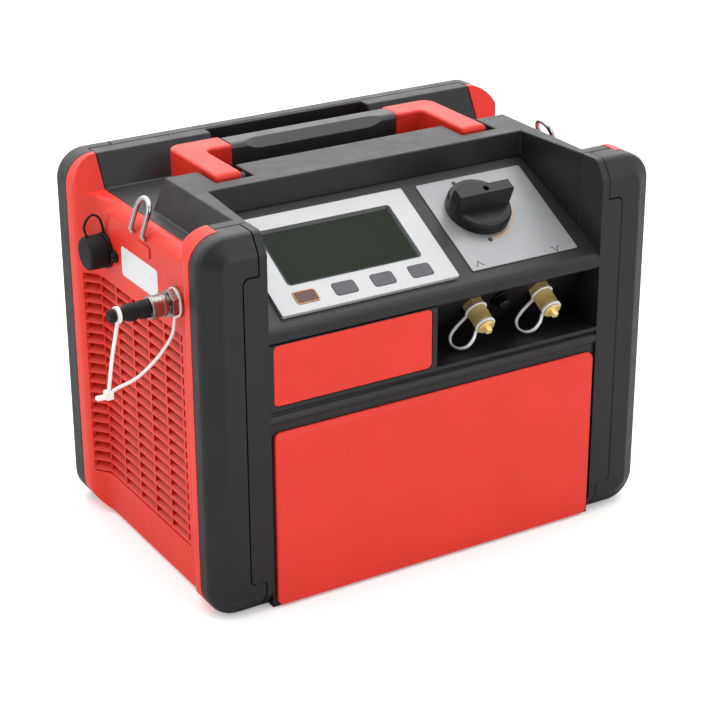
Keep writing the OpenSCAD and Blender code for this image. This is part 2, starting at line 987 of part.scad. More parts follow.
module top_cover() {
  low = scoop_z - wall - cover_skirt;
  foot_y = rear_bar_y - rear_bar_slope;
  color(charcoal)
    difference() {
      union() {
        difference() {
          along_x(-cover_x, cover_x)
            polygon([
              [cover_y0, low], [cover_y0, body_h], [platform_y, body_h],
              [platform_y + platform_back, scoop_z], [foot_y, scoop_z], [rear_bar_y, body_h],
              [cover_y1, body_h], [cover_y1, low]
            ]);
          for (s = [0, 1])
            mirror([s, 0, 0])
              along_y(ear_y, platform_y + platform_back + 1)
                polygon([
                  [platform_x, body_h + 1], [platform_x + platform_slope, scoop_z],
                  [side_x, scoop_z], [side_x, body_h + 1]
                ]);
          intersection() {
            along_x(-cover_x, cover_x)
              polygon([
                [cover_y0 + wall, low], [cover_y0 + wall, body_h - wall],
                [platform_y - wall, body_h - wall],
                [platform_y + platform_back - wall, scoop_z - wall], [0, low]
              ]);
            along_y(cover_y0, cover_y1)
              polygon([
                [-platform_x + wall, body_h], [-platform_x - platform_slope + wall, scoop_z - wall],
                [-platform_x, low], [platform_x, low],
                [platform_x + platform_slope - wall, scoop_z - wall], [platform_x - wall, body_h]
              ]);
          }
          box([-cover_x + wall, cover_y0 + wall, low - 1],
              [cover_x - wall, cover_y1 - wall, scoop_z - wall]);
        }
        intersection() {
          linear_extrude(body_h)
            recess_plan(wall);
          above_console(body_h);
        }
        handle_pockets(wall, 0, pocket_z - wall, body_h - wall);
      }
      intersection() {
        translate([0, 0, 1])
          linear_extrude(body_h)
            recess_plan(0);
        above_console(body_h + 2);
      }
      difference() {
        handle_pockets(0, slot_run, pocket_z, body_h + 1);
        for (s = [0, 1])
          mirror([s, 0, 0])
            box([slot_x0 - 1, platform_y - rest_l, pocket_z - 1],
                [slot_x1 + 1, platform_y + slot_run, pivot_z - arm_h / 2 - gap]);
      }
      translate([0, 0, pivot_z])
        rotate([0, 90, 0])
          for (s = [-1, 1])
            translate([0, 0, s * (slot_x0 + slot_x1) / 2])
              cylinder(d = pin_d + 2 * fit, h = slot_w + 4 * wall, center = true);
      box([-notch_w / 2, foot_y - 1, scoop_z + notch_z], [notch_w / 2, cover_y1 - wall, body_h + 1]);
    }
}

// Front frame

// Left post between the bumper's seam and the console, with its chamfered ends
module frame_post() {
  edge = frame_end_x - seam / 2;
  low = bumper_skin(front_band);
  high = bumper_skin(front_top_band);
  along_y(front_y, front_y + wall)
    intersection() {
      frame_outline(-seam / 2);
      translate([-side_x, face_in])
        square([side_x - recess_front_x, body_h - 2 * face_in]);
    }
  bumper_bar(-edge, -recess_front_x, front_top_band, true);
  bumper_bar(-edge, -recess_front_x, front_band, false);
  along_x(-recess_front_x - wall, -recess_front_x)
    polygon(concat(
      [for (q = low) [front_y + q[1], q[0]]],
      [for (i = [len(high) - 1 : -1 : 0]) [front_y + high[i][1], body_h - high[i][0]]],
      [[front_top_y, shelf_z], [front_seam_y, tray_h + seam]]
    ));
  box([-frame_mid_x - tongue_w / 2, front_y + wall, jog_bottom + jog_r],
      [-recess_front_x, front_y + 2 * wall, body_h - jog_top - jog_r]);
}

// Housing of the ports: shelf, cheeks and the tilted wall that carries the fittings
module port_bay() {
  difference() {
    union() {
      box([divider_x - wall, front_y, shelf_z - wall], [recess_front_x, bay_back_y, shelf_z]);
      for (x = [divider_x - wall, recess_front_x])
        box([x, front_y, shelf_z - wall], [x + wall, bay_back_y, lip_z - lip_h]);
      intersection() {
        on_ports()
          box([divider_x - wall, -bay_reach, -wall], [recess_front_x + wall, bay_reach, 0]);
        box([-side_x, front_y + wall, shelf_z - wall], [side_x, rear_y, lip_z]);
      }
    }
    on_ports() {
      for (x = [port_x, port_x + port_pitch])
        translate([x, 0, -wall - 1])
          cylinder(d = tail_d + 2 * fit, h = wall + 2);
      translate([reset_x, 0, -wall - 1])
        cylinder(d = switch_d + 2 * fit, h = wall + 2);
    }
  }
}

module front_frame() {
  tray_back = front_y + badge_t + pocket_lift + wall;
  above = [front_y + lip_back, console_at(front_y + lip_back)];
  under = [front_y + lip_back - wall, lip_z - lip_h];
  color(charcoal) {
    frame_post();
    twin()
      frame_post();
    port_bay();
    along_x(-recess_front_x, recess_front_x)
      polygon(concat(
        soft_corner(under, [front_y, lip_z - lip_h], [front_y, lip_z], lip_low_r),
        soft_corner([front_y, lip_z - lip_h], [front_y, lip_z], above, lip_r),
        [above, [front_y + lip_back, lip_z - lip_h / 2], under]
      ));
    difference() {
      on_console()
        box([-recess_front_x, deck_v, -wall], [recess_front_x, console_l, 0]);
      on_console()
        translate([knob_x, knob_v, -wall - 1])
          cylinder(d = stem_d + 2 * gap, h = wall + 2);
    }
    difference() {
      box([-recess_front_x, front_y, shelf_z - wall], [divider_x, tray_back, lip_z - lip_h]);
      translate([badge_x, 0, badge_z])
        along_y(front_y - 1, front_y + badge_t + pocket_lift)
          round_rect(badge_w + 2 * gap, badge_h + 2 * gap, badge_r + gap);
    }
    translate([-recess_front_x, front_y + rail_r, rail_z])
      rotate([0, 90, 0])
        cylinder(r = rail_r, h = 2 * recess_front_x);
    box([-recess_front_x, front_y + rail_r, rail_z - rail_r],
        [recess_front_x, front_y + rail_r + wall, shelf_z]);
    box([-recess_front_x, bulkhead_y, 0], [recess_front_x, bulkhead_y + wall, rail_z]);
    box([-recess_front_x, bulkhead_y, 0], [recess_front_x, front_seam_y, wall]);
  }
}

module front_panel() {
  face = front_y - panel_proud;
  color(red)
    intersection() {
      translate([0, 0, (panel_top + panel_bottom) / 2])
        along_y(face, bulkhead_y)
          round_rect(panel_w, panel_top - panel_bottom, panel_r);
      along_x(-panel_w, panel_w)
        polygon([
          [bulkhead_y, 0], [face, 0], [face, panel_top - panel_bevel_h],
          [face + panel_bevel_d, panel_top], [bulkhead_y, panel_top]
        ]);
    }
}

module badge_plate() {
  color(red)
    translate([badge_x, 0, badge_z])
      along_y(front_y + pocket_lift, front_y + pocket_lift + badge_t)
        round_rect(badge_w, badge_h, badge_r);
}

// Display and keys

module display_bezel() {
  color(steel)
    on_console()
      difference() {
        translate([bezel_x, bezel_v + bezel_l / 2, 0])
          linear_extrude(bezel_t)
            round_rect(bezel_w, bezel_l, bezel_r);
        translate([window_x, bezel_v + window_v + window_l / 2, -1])
          linear_extrude(bezel_t + 2)
            round_rect(window_w + 2 * fit, window_l + 2 * fit, window_r);
        for (i = [0 : 3])
          translate([key_x + (i - 1.5) * key_pitch, key_v, -1])
            linear_extrude(bezel_t + 2)
              round_rect(key_w + 2 * gap, key_l + 2 * gap, key_r + gap);
      }
}

module display_window() {
  color("#2c3a2e")
    on_console()
      translate([window_x, bezel_v + window_v + window_l / 2, 0])
        linear_extrude(window_t)
          round_rect(window_w, window_l, window_r);
}

module panel_key(i) {
  color(i == 0 ? "#54302a" : "#4a4d52")
    on_console()
      translate([key_x + (i - 1.5) * key_pitch, key_v, key_travel + gap])
        linear_extrude(bezel_t - key_travel)
          round_rect(key_w, key_l, key_r);
}

module key_1() {
  panel_key(0);
}

module key_2() {
  panel_key(1);
}

module key_3() {
  panel_key(2);
}

module key_4() {
  panel_key(3);
}

// Selector

module dial_plate() {
  color(steel)
    on_console()
      difference() {
        translate([dial_x, dial_v + dial_l / 2, 0])
          linear_extrude(dial_t)
            round_rect(dial_w, dial_l, bezel_r);
        translate([knob_x, knob_v, -1])
          cylinder(d = stem_d + 2 * gap, h = dial_t + 2);
      }
}

// A skirted knob with a wedge-shaped pointer bar
module selector_knob() {
  r = knob_d / 2;
  color(black)
    on_console()
      translate([knob_x, knob_v, knob_lift])
        difference() {
          union() {
            rotate_extrude($fn = 96)
              polygon([
                [0, 0], [r, 0], [r, skirt_edge], [r - skirt_round, skirt_h - skirt_round / 2],
                [r - skirt_set, skirt_h], [0, skirt_h]
              ]);
            intersection() {
              along_x(-knob_d, knob_d)
                polygon([
                  [-bar_foot / 2, skirt_h / 2], [bar_foot / 2, skirt_h / 2],
                  [bar_ridge / 2, knob_h], [-bar_ridge / 2, knob_h]
                ]);
              along_y(-knob_d, knob_d)
                polygon([
                  [-r, 0], [bar_toe, 0], [bar_nose, knob_h - 1], [bar_nose - 1, knob_h],
                  [bar_heel - r, knob_h]
                ]);
              cylinder(r = r, h = knob_h + 1, $fn = 96);
            }
          }
          translate([0, 0, knob_h - knob_screw_l])
            cylinder(d = knob_screw_d, h = knob_screw_l + 1);
          translate([0, 0, -1])
            cylinder(d = stem_d + 2 * fit, h = stem_grip + fit + 1);
        }
}

module selector_stem() {
  color(steel)
    on_console()
      translate([knob_x, knob_v, knob_lift + stem_grip - stem_l])
        cylinder(d = stem_d, h = stem_l);
}

module selector_valve() {
  color(brass)
    on_console()
      translate([knob_x, knob_v, -wall - valve_l])
        difference() {
          union() {
            cylinder(d = valve_d, h = valve_l);
            translate([0, 0, valve_l / 3])
              rotate([0, 90, 0])
                cylinder(d = valve_arm_d, h = valve_arm, center = true);
          }
          translate([0, 0, valve_l - stem_l + stem_grip + knob_lift + wall - 1])
            cylinder(d = stem_d + 2 * gap, h = stem_l + 1);
        }
}

// Ports

module manifold() {
  color(brass)
    on_ports()
      difference() {
        box([port_x - manifold_margin, -manifold_w / 2, -wall - manifold_t],
            [port_x + port_pitch + manifold_margin, manifold_w / 2, -wall]);
        for (x = [port_x, port_x + port_pitch])
          translate([x, 0, -wall - tail_l - fit]) {
            cylinder(d = tail_d + 2 * fit, h = tail_l + wall);
            translate([0, 0, -tail_l])
              cylinder(d = port_bore, h = tail_l + 1);
          }
        translate([reset_x, 0, -wall - switch_l - fit])
          cylinder(d = switch_d + 2 * fit, h = switch_l + wall);
      }
}

// A flare fitting: tail in the manifold, hexagon, thread and seat
module port(x) {
  top = hex_h + thread_l;
  color(brass)
    on_ports()
      translate([x, 0, 0])
        difference() {
          union() {
            translate([0, 0, -wall - tail_l])
              cylinder(d = tail_d, h = wall + tail_l + lap);
            cylinder(d = hex_af / cos(30), h = hex_h, $fn = 6);
            translate([0, 0, hex_h - lap])
              cylinder(d = thread_d, h = thread_l - flare_l + lap);
            translate([0, 0, top - flare_l])
              cylinder(d1 = thread_d, d2 = port_bore + 2, h = flare_l);
          }
          translate([0, 0, -wall - tail_l - 1])
            cylinder(d = port_bore, h = wall + tail_l + top + 2);
        }
}

module port_left() {
  port(port_x);
}

module port_right() {
  port(port_x + port_pitch);
}

// A threaded cap with a groove for its strap and a square drive nib
module port_cap(x) {
  r = cap_d / 2;
  bore_r = thread_d / 2 + gap;
  bore_l = hex_h + thread_l + seat_gap - cap_z;
  crown_r = r - cap_step;
  color(brass)
    on_ports()
      translate([x, 0, cap_z]) {
        rotate_extrude()
          polygon([
            [bore_r, 0], [r - cap_edge, 0], [r, cap_edge], [r, groove_z], [groove_r, groove_z],
            [groove_r, groove_z + groove_w], [crown_r, groove_z + groove_w],
            [crown_r, cap_l - cap_edge], [crown_r - cap_edge, cap_l], [0, cap_l], [0, bore_l],
            [bore_r, bore_l]
          ]);
        translate([-nib_w / 2, -nib_w / 2, cap_l - lap])
          cube([nib_w, nib_w, nib_l + lap]);
      }
}

module port_cap_left() {
  port_cap(port_x);
}

module port_cap_right() {
  port_cap(port_x + port_pitch);
}

// The strap's ring, which stays still while the cap turns in it
module cap_ring(x) {
  color(nylon)
    on_ports()
      translate([x, 0, cap_z + groove_z + gap])
        difference() {
          cylinder(r = ring_r, h = ring_t);
          translate([0, 0, -1])
            cylinder(r = groove_r + gap, h = ring_t + 2);
        }
}

module cap_ring_left() {
  cap_ring(port_x);
}

module cap_ring_right() {
  cap_ring(port_x + port_pitch);
}

// The strap from the washer under the cap round to the cap's ring
module cap_strap(x) {
  ring_mid = cap_z + groove_z + gap + ring_t / 2;
  washer_mid = hex_h + washer_t / 2;
  color(nylon)
    on_ports()
      translate([x, 0, 0]) {
        translate([0, 0, hex_h])
          difference() {
            cylinder(r = washer_r, h = washer_t);
            translate([0, 0, -1])
              cylinder(d = thread_d + 2 * fit, h = washer_t + 2);
          }
        rotate([0, 0, strap_turn])
          rotate([90, 0, 0])
            strap_along(concat(
              [[washer_r - strap_set, washer_mid]], cap_strap_route, [[ring_r + gap + strap_lead, ring_mid]]
            ), strap_t, strap_w);
      }
}

module cap_strap_left() {
  cap_strap(port_x);
}

module cap_strap_right() {
  cap_strap(port_x + port_pitch);
}

module reset_button() {
  color(black)
    on_ports()
      translate([reset_x, 0, -reset_in])
        rotate_extrude()
          polygon([
            [0, 0], [reset_d / 2, 0], [reset_d / 2, reset_in + reset_out - reset_edge],
            [reset_d / 2 - reset_edge, reset_in + reset_out], [0, reset_in + reset_out]
          ]);
}

module reset_switch() {
  color(black)
    on_ports()
      translate([reset_x, 0, -wall - switch_l])
        difference() {
          union() {
            cylinder(d = switch_d, h = switch_l + wall + lap);
            translate([0, 0, switch_l + wall])
              cylinder(d = switch_d + 2 * switch_rim, h = switch_rim_h);
          }
          translate([0, 0, switch_l + wall - reset_in - reset_travel - gap])
            cylinder(d = reset_d + 2 * gap, h = switch_l + wall);
        }
}

// Side fittings

module power_socket() {
  color(black)
    on_side(socket_y, socket_z)
      difference() {
        union() {
          linear_extrude(socket_flange_t)
            difference() {
              union() {
                circle(d = socket_flange);
                translate([0, -lug_at])
                  circle(lug_r);
                translate([-lug_r, -lug_at])
                  square([2 * lug_r, lug_at]);
              }
              translate([0, -lug_at])
                circle(d = lug_hole);
            }
          translate([0, 0, -wall - socket_tail])
            cylinder(d = socket_d, h = wall + socket_tail + socket_flange_t + socket_barrel);
        }
        translate([0, 0, -wall])
          cylinder(d = socket_d - 2 * socket_wall, h = wall + socket_flange_t + socket_barrel + 1);
      }
}

// Push-on weather cap over the socket's barrel
module socket_cap() {
  r = socket_cap_d / 2;
  bore_l = socket_barrel + gap;
  color(black)
    on_side(socket_y, socket_z)
      translate([0, 0, socket_flange_t + gap])
        rotate_extrude()
          polygon([
            [socket_d / 2 + gap, 0], [r, 0], [r, socket_cap_l - socket_cap_edge],
            [r - socket_cap_edge, socket_cap_l], [0, socket_cap_l], [0, bore_l],
            [socket_d / 2 + gap, bore_l]
          ]);
}

module socket_tether() {
  color(black)
    on_side(socket_y, socket_z)
      rotate([90, 0, 0])
        strap_along(concat(
          [[socket_cap_d / 2 + gap, socket_flange_t + socket_cap_l - tether_set]],
          tether_route, [[socket_flange / 2, socket_flange_t / 2]]
        ), tether_d, tether_d);
}

// Bulkhead stem of the quick coupler with its flange and hexagon
module coupler_body() {
  nut_z = coupler_flange_t + strap_base_t + fit;
  color(steel)
    on_side(-coupler_y, coupler_z)
      difference() {
        union() {
          cylinder(d = coupler_flange_d, h = coupler_flange_t);
          translate([0, 0, -wall - coupler_tail])
            cylinder(d = coupler_bore, h = wall + coupler_tail + plug_out - stem_back);
          translate([0, 0, nut_z])
            cylinder(d = nut_af / cos(30), h = nut_h, $fn = 6);
        }
        translate([0, 0, -wall - coupler_tail - 1])
          cylinder(d = plug_pin_d + 2 * gap, h = wall + coupler_tail + plug_out + 2);
      }
}

// Knurled locking sleeve that slides back on the stem
module coupler_sleeve() {
  color(steel)
    on_side(-coupler_y, coupler_z)
      translate([0, 0, sleeve_out])
        difference() {
          union() {
            cylinder(d = sleeve_d, h = sleeve_l);
            for (z = [sleeve_rib_set, sleeve_l - sleeve_rib_set - sleeve_rib_w])
              translate([0, 0, z])
                cylinder(d = sleeve_d + 2 * sleeve_rib, h = sleeve_rib_w);
          }
          translate([0, 0, -1])
            cylinder(d = coupler_bore + 2 * gap, h = sleeve_l + 2);
        }
}

// Rubber dust plug: pin in the coupler, ribbed body, neck and end knob
module dust_plug() {
  r = plug_d / 2;
  neck_top = plug_body + plug_neck;
  color(black)
    on_side(-coupler_y, coupler_z)
      translate([0, 0, plug_out + gap]) {
        translate([0, 0, -plug_pin_l])
          cylinder(d = plug_pin_d, h = plug_pin_l + lap);
        rotate_extrude()
          polygon([
            [0, 0], [r, 0], [r, waist_z], [r - plug_waist, waist_z + waist_run],
            [r - plug_waist, waist_z + waist_l], [r, waist_z + waist_l + waist_run],
            [r - neck_set, plug_taper_z], [neck_d / 2 + 1, plug_body],
            [neck_d / 2, plug_body + lap], [neck_d / 2, neck_top], [plug_knob_r - lap, neck_top],
            [plug_knob_r, neck_top + plug_knob / 2], [plug_knob_r - plug_knob_edge, neck_top + plug_knob],
            [0, neck_top + plug_knob]
          ]);
      }
}

// Nylon tie: ring on the plug's neck, drop to the lock head, then back to the coupler's flange
module plug_strap() {
  neck_z = plug_out + gap + plug_body + plug_neck / 2 + neck_set;
  ring_out = neck_d / 2 + gap + tie_ring_w;
  head = [tie_head[0], tie_head[1], 0];
  color(nylon)
    on_side(-coupler_y, coupler_z) {
      translate([0, 0, neck_z - tie_ring_t / 2])
        difference() {
          cylinder(r = ring_out, h = tie_ring_t);
          translate([0, 0, -1])
            cylinder(d = neck_d + 2 * gap, h = tie_ring_t + 2);
        }
      translate([0, 0, coupler_flange_t])
        difference() {
          cylinder(d = coupler_flange_d, h = strap_base_t);
          translate([0, 0, -1])
            cylinder(d = coupler_bore + 2 * fit, h = strap_base_t + 2);
        }
      rotate([90, 0, 0]) {
        strap_along(concat([[tie_set - ring_out, neck_z]], tie_drop, [tie_head]), tie_t, tie_w);
        strap_along(concat(
          [tie_head], tie_return,
          [[tie_set - coupler_flange_d / 2, coupler_flange_t + strap_base_t / 2]]
        ), tie_return_t, tie_w);
        translate(head)
          cube(tie_lock, center = true);
        translate(head + tie_tail_at)
          cube(tie_tail, center = true);
      }
    }
}

// Handle

// Side view of an arm: round-cornered front end at the pivot
module arm_profile(back) {
  difference() {
    translate([-arm_front, pivot_z - arm_h / 2])
      square([arm_front + back, arm_h]);
    translate([-arm_front, pivot_z + arm_h / 2])
      difference() {
        translate([-1, -arm_top_r])
          square([arm_top_r + 1, arm_top_r + 1]);
        translate([arm_top_r, -arm_top_r])
          circle(arm_top_r);
      }
    translate([-arm_front, pivot_z - arm_h / 2])
      difference() {
        translate([-1, -1])
          square(arm_low_r + 1);
        translate([arm_low_r, arm_low_r])
          circle(arm_low_r);
      }
  }
}

// Plan of the handle's corner, outer and inner corners rounded
module handle_plan() {
  half = handle_w / 2;
  bar_y = handle_reach - crossbar_d;
  deep_y = platform_y + slot_run + gap;
  difference() {
    union() {
      translate([-half, deep_y])
        square([arm_w, handle_reach - deep_y - corner_out]);
      translate([-half + corner_out, bar_y])
        square([half - corner_out - grip_l / 2, crossbar_d]);
      translate([-half + corner_out, handle_reach - corner_out])
        circle(corner_out);
      translate([-arm_x - 0.5, bar_y - corner_in])
        square(corner_in + 0.5);
    }
    translate([-arm_x + corner_in, bar_y - corner_in])
      circle(corner_in);
  }
}

module handle_frame() {
  top = pivot_z + arm_h / 2;
  half = handle_w / 2;
  color(red)
    translate([handle_shift, 0, 0])
      for (s = [0, 1])
        mirror([s, 0, 0])
          difference() {
            union() {
              along_x(-half, -arm_x)
                arm_profile(handle_reach - crossbar_d);
              translate([0, 0, top - crossbar_h])
                linear_extrude(crossbar_h)
                  handle_plan();
            }
            translate([-half - 1, 0, pivot_z])
              rotate([0, 90, 0])
                cylinder(d = pin_d + 2 * gap, h = arm_w + 2);
          }
}

// Moulded grip between the arms: a palm hollow along its upper front edge, finger hollows below
module handle_grip() {
  top = pivot_z + arm_h / 2;
  depth = crossbar_d - 2 * grip_inset;
  edge = (depth + crossbar_h) / 2 / sqrt(2) - scoop_cut;
  color(black)
    translate([handle_shift, handle_reach - crossbar_d / 2, top - crossbar_h / 2])
      difference() {
        along_x(-grip_l / 2, grip_l / 2)
          round_rect(depth, crossbar_h, grip_r);
        rotate([45, 0, 0])
          translate([0, 0, edge + scoop_r])
            rotate([90, 0, 0]) {
              for (s = [-1, 1])
                translate([s * scoop_l / 2, 0, 0])
                  cylinder(r = scoop_r, h = 2 * crossbar_h, center = true, $fn = 96);
              cube([scoop_l, 2 * scoop_r, 2 * crossbar_h], center = true);
            }
        for (i = [-1.5 : 1.5])
          translate([i * finger_pitch, -depth / 2, -crossbar_h / 2 - finger_r + finger_cut])
            rotate([90, 0, 0])
              cylinder(r = finger_r, h = depth, center = true);
      }
}

module handle_pins() {
  color(steel)
    for (s = [-1, 1])
      translate([s * (slot_x0 + slot_x1) / 2, 0, pivot_z])
        rotate([0, 90, 0])
          cylinder(d = pin_d, h = slot_w + 2 * wall, center = true);
}

// Spacers that hold the handle to one side of its slots
module pivot_bushes() {
  half = handle_w / 2 + handle_shift;
  color(black)
    for (ends = [[half, slot_x1], [handle_shift - arm_x, -slot_x0]])
      translate([ends[0] + gap, 0, pivot_z])
        rotate([0, 90, 0])
          difference() {
            cylinder(d = pin_d + 2 * bush_wall, h = ends[1] - ends[0] - 2 * gap);
            translate([0, 0, -1])
              cylinder(d = pin_d + 2 * fit, h = slot_w);
          }
}

// Inside

// Crankcase on its feet with two finned cylinders in a vee
module compressor() {
  color("#8b8f94")
    translate([crank_x, 0, shaft_z]) {
      rotate([0, 90, 0])
        cylinder(d = crank_d, h = crank_w, center = true);
      for (a = [-vee_deg, vee_deg])
        rotate([a, 0, 0])
          rotate_extrude()
            polygon(concat(
              [[0, 0], [cylinder_r, 0]],
              [for (i = [0 : fin_count - 1], p = [[0, 0], [fin_w, 0], [fin_w, fin_t], [0, fin_t]])
                [cylinder_r + p[0], fin_start + i * fin_pitch + p[1]]],
              [[cylinder_r, cylinder_h], [0, cylinder_h]]
            ));
      for (s = [-1, 1])
        translate([0, s * foot_at, (floor_z - shaft_z) / 2])
          cube([crank_w, foot_w, shaft_z - floor_z], center = true);
    }
}

module motor() {
  color("#5c6066")
    translate([motor_x, 0, shaft_z])
      rotate([0, 90, 0])
        difference() {
          union() {
            cylinder(d = motor_d, h = motor_drum_l);
            cylinder(d = motor_end_d, h = motor_l);
            for (a = [0 : rib_step : 360 - rib_step])
              rotate([0, 0, a])
                translate([motor_d / 2 - 1, -motor_rib[1] / 2, 0])
                  cube(motor_rib);
          }
          translate([0, 0, motor_l - bearing_l])
            cylinder(d = shaft_d + 2 * gap, h = bearing_l + 1);
        }
}

// Axial fan on its shaft
module fan() {
  color("#2b2d30")
    translate([fan_x, 0, shaft_z])
      rotate([0, 90, 0]) {
        cylinder(d = fan_hub, h = fan_w, center = true);
        translate([0, 0, -fan_w / 2 - shaft_out])
          cylinder(d = shaft_d, h = shaft_out + 1);
        for (i = [0 : fan_blades - 1])
          rotate([0, 0, i * 360 / fan_blades])
            intersection() {
              translate([fan_hub / 2 - blade_root, 0, 0])
                rotate([blade_deg, 0, 0])
                  translate([0, -blade_w / 2, -blade_t / 2])
                    cube([(fan_d - fan_hub) / 2 + blade_root, blade_w, blade_t]);
              cylinder(d = fan_d, h = fan_w, center = true);
            }
      }
}

// Square plate with a round mouth behind the right-hand louvres
module fan_shroud() {
  size = fan_d + 2 * shroud_margin;
  color("#4a4c50")
    difference() {
      translate([fan_x - fan_w / 2 + shroud_set, 0, shaft_z])
        rotate([0, 90, 0]) {
          linear_extrude(wall)
            square([2 * (shaft_z - floor_z), size], center = true);
          cylinder(d = fan_d + 2 * shroud_gap + 2 * wall, h = fan_w);
        }
      translate([fan_x, 0, shaft_z])
        rotate([0, 90, 0])
          cylinder(d = fan_d + 2 * shroud_gap, h = 3 * fan_w, center = true);
    }
}

// Finned condenser block between end plates, behind the left-hand louvres
module condenser() {
  l = condenser_l;
  pitch = (l - 2 * plate_fin_set - plate_fin_t) / (plate_fins - 1);
  color("#a9adb2")
    translate([condenser_x, 0, floor_z]) {
      for (y = [-l / 2, l / 2 - end_plate_t])
        translate([0, y, 0])
          cube([condenser_t, end_plate_t, condenser_h]);
      for (i = [0 : plate_fins - 1])
        translate([1, -l / 2 + plate_fin_set + i * pitch, plate_fin_set])
          cube([condenser_t - 2, plate_fin_t, condenser_h - 2 * plate_fin_set]);
      for (i = [0 : tube_rows - 1], x = [condenser_t / 4, condenser_t * 3 / 4])
        translate([x, -l / 2 - tube_over, condenser_h * (i + 0.5) / tube_rows])
          rotate([-90, 0, 0])
            cylinder(d = tube_d, h = l + 2 * tube_over);
    }
}

base_tray();
front_frame();
front_bumper_left();
front_bumper_right();
rear_bumper_left();
rear_bumper_right();
rear_panel();
side_panel_left();
side_panel_right();
top_cover();
front_panel();
badge_plate();
display_bezel();
display_window();
key_1();
key_2();
key_3();
key_4();
dial_plate();
selector_knob();
selector_stem();
selector_valve();
manifold();
port_left();
port_right();
port_cap_left();
port_cap_right();
cap_ring_left();
cap_ring_right();
cap_strap_left();
cap_strap_right();
reset_button();
reset_switch();
strap_hook_left();
strap_hook_right();
power_socket();
socket_cap();
socket_tether();
coupler_body();
coupler_sleeve();
dust_plug();
plug_strap();
handle_frame();
handle_grip();
handle_pins();
pivot_bushes();
compressor();
motor();
fan();
fan_shroud();
condenser();
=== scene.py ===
# %% [markdown]
# A portable refrigerant recovery machine, dressed for a studio picture.
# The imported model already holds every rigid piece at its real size, in metres, so this lesson only adds
# what a CAD solid lacks: soft edges, finishes, printing, straps and knurling.
# Loading comes first, because each later cell asks the frame where its piece sits.

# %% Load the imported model
import json
import math

import bmesh
import bpy
from mathutils import Matrix, Quaternion, Vector


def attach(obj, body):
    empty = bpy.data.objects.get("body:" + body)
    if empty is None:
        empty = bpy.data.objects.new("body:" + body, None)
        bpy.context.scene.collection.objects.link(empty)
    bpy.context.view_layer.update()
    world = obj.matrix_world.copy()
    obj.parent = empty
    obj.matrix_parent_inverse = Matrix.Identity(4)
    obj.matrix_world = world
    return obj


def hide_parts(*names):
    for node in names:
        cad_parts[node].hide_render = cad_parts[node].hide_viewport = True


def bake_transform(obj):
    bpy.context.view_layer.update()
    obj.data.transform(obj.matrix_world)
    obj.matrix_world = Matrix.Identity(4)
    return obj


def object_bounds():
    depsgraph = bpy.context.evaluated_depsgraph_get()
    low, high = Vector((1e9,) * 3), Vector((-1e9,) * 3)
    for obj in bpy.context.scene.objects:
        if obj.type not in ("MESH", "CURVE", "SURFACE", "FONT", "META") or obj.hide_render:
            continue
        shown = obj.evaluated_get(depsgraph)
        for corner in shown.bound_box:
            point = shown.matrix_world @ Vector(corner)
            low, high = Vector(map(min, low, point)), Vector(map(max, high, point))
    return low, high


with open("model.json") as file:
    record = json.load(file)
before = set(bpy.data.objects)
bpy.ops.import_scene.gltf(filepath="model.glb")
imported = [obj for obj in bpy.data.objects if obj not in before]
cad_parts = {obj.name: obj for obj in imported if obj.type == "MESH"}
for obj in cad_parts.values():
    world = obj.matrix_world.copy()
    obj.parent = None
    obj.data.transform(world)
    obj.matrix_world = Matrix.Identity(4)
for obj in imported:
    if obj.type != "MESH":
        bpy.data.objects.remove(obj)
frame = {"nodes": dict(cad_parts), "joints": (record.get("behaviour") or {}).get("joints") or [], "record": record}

nodes = frame["nodes"]
joints = {joint["name"]: joint for joint in frame["joints"]}
cad_low, cad_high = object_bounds()
print("pieces from CAD:", len(nodes), "box:", [round(v, 4) for v in cad_high - cad_low])

# %% [markdown]
# A product photograph is taken with a long lens from a few paces away, which keeps the verticals nearly parallel.
# The place, the aim, the small roll and the focal length were found by matching corners of the housing.
# A quaternion from the viewing direction is the safest way to aim: it needs no tracking constraint.

# %% Camera
VIEW_FROM = Vector((-0.79055, -1.32582, 0.81003))
LOOK_AT = Vector((0.05176, 0.07385, 0.08331))
ROLL_DEG = -0.21
SENSOR_MM, LENS_MM = 36, 102.54
camera = bpy.data.objects.new("camera", bpy.data.cameras.new("camera"))
bpy.context.scene.collection.objects.link(camera)
camera.data.sensor_width = SENSOR_MM
camera.data.lens = LENS_MM
camera.location = VIEW_FROM
camera.rotation_mode = "QUATERNION"
aim = (LOOK_AT - VIEW_FROM).to_track_quat("-Z", "Y")
camera.rotation_quaternion = aim @ Quaternion((0, 0, 1), math.radians(ROLL_DEG))
bpy.context.scene.camera = camera
print("camera distance:", round((LOOK_AT - VIEW_FROM).length, 3))

# %% [markdown]
# The studio is a white sweep under large soft lamps, so the plastic shows broad pale reflections on top.
# The camera sees a plain white world. Light and reflections come from a room that is bright above and behind,
# where the sweep rises, and dark on the photographer's side: metal shows dark streaks, and front faces keep
# their colour.
# The floor is a big pale disc: it takes the contact shadow and fades into the white behind it. Its own
# reflection is turned down, so that the sides of the machine keep their full colour.

# %% Studio
scene = bpy.context.scene
scene.view_settings.view_transform = "Standard"


def add(tree, kind, **sockets):
    """Adds a node and sets its sockets by name, with _ for a space."""
    node = tree.nodes.new(kind)
    for socket, value in sockets.items():
        node.inputs[socket.replace("_", " ")].default_value = value
    return node


def mapped(tree, source, low, high, from_low=0.0, from_high=1.0):
    """Maps a value onto a range."""
    span = add(tree, "ShaderNodeMapRange", From_Min=from_low, From_Max=from_high)
    tree.links.new(source, span.inputs["Value"])
    for socket, end in (("To Min", low), ("To Max", high)):
        if isinstance(end, (int, float)):
            span.inputs[socket].default_value = end
        else:
            tree.links.new(end, span.inputs[socket])
    return span.outputs[0]


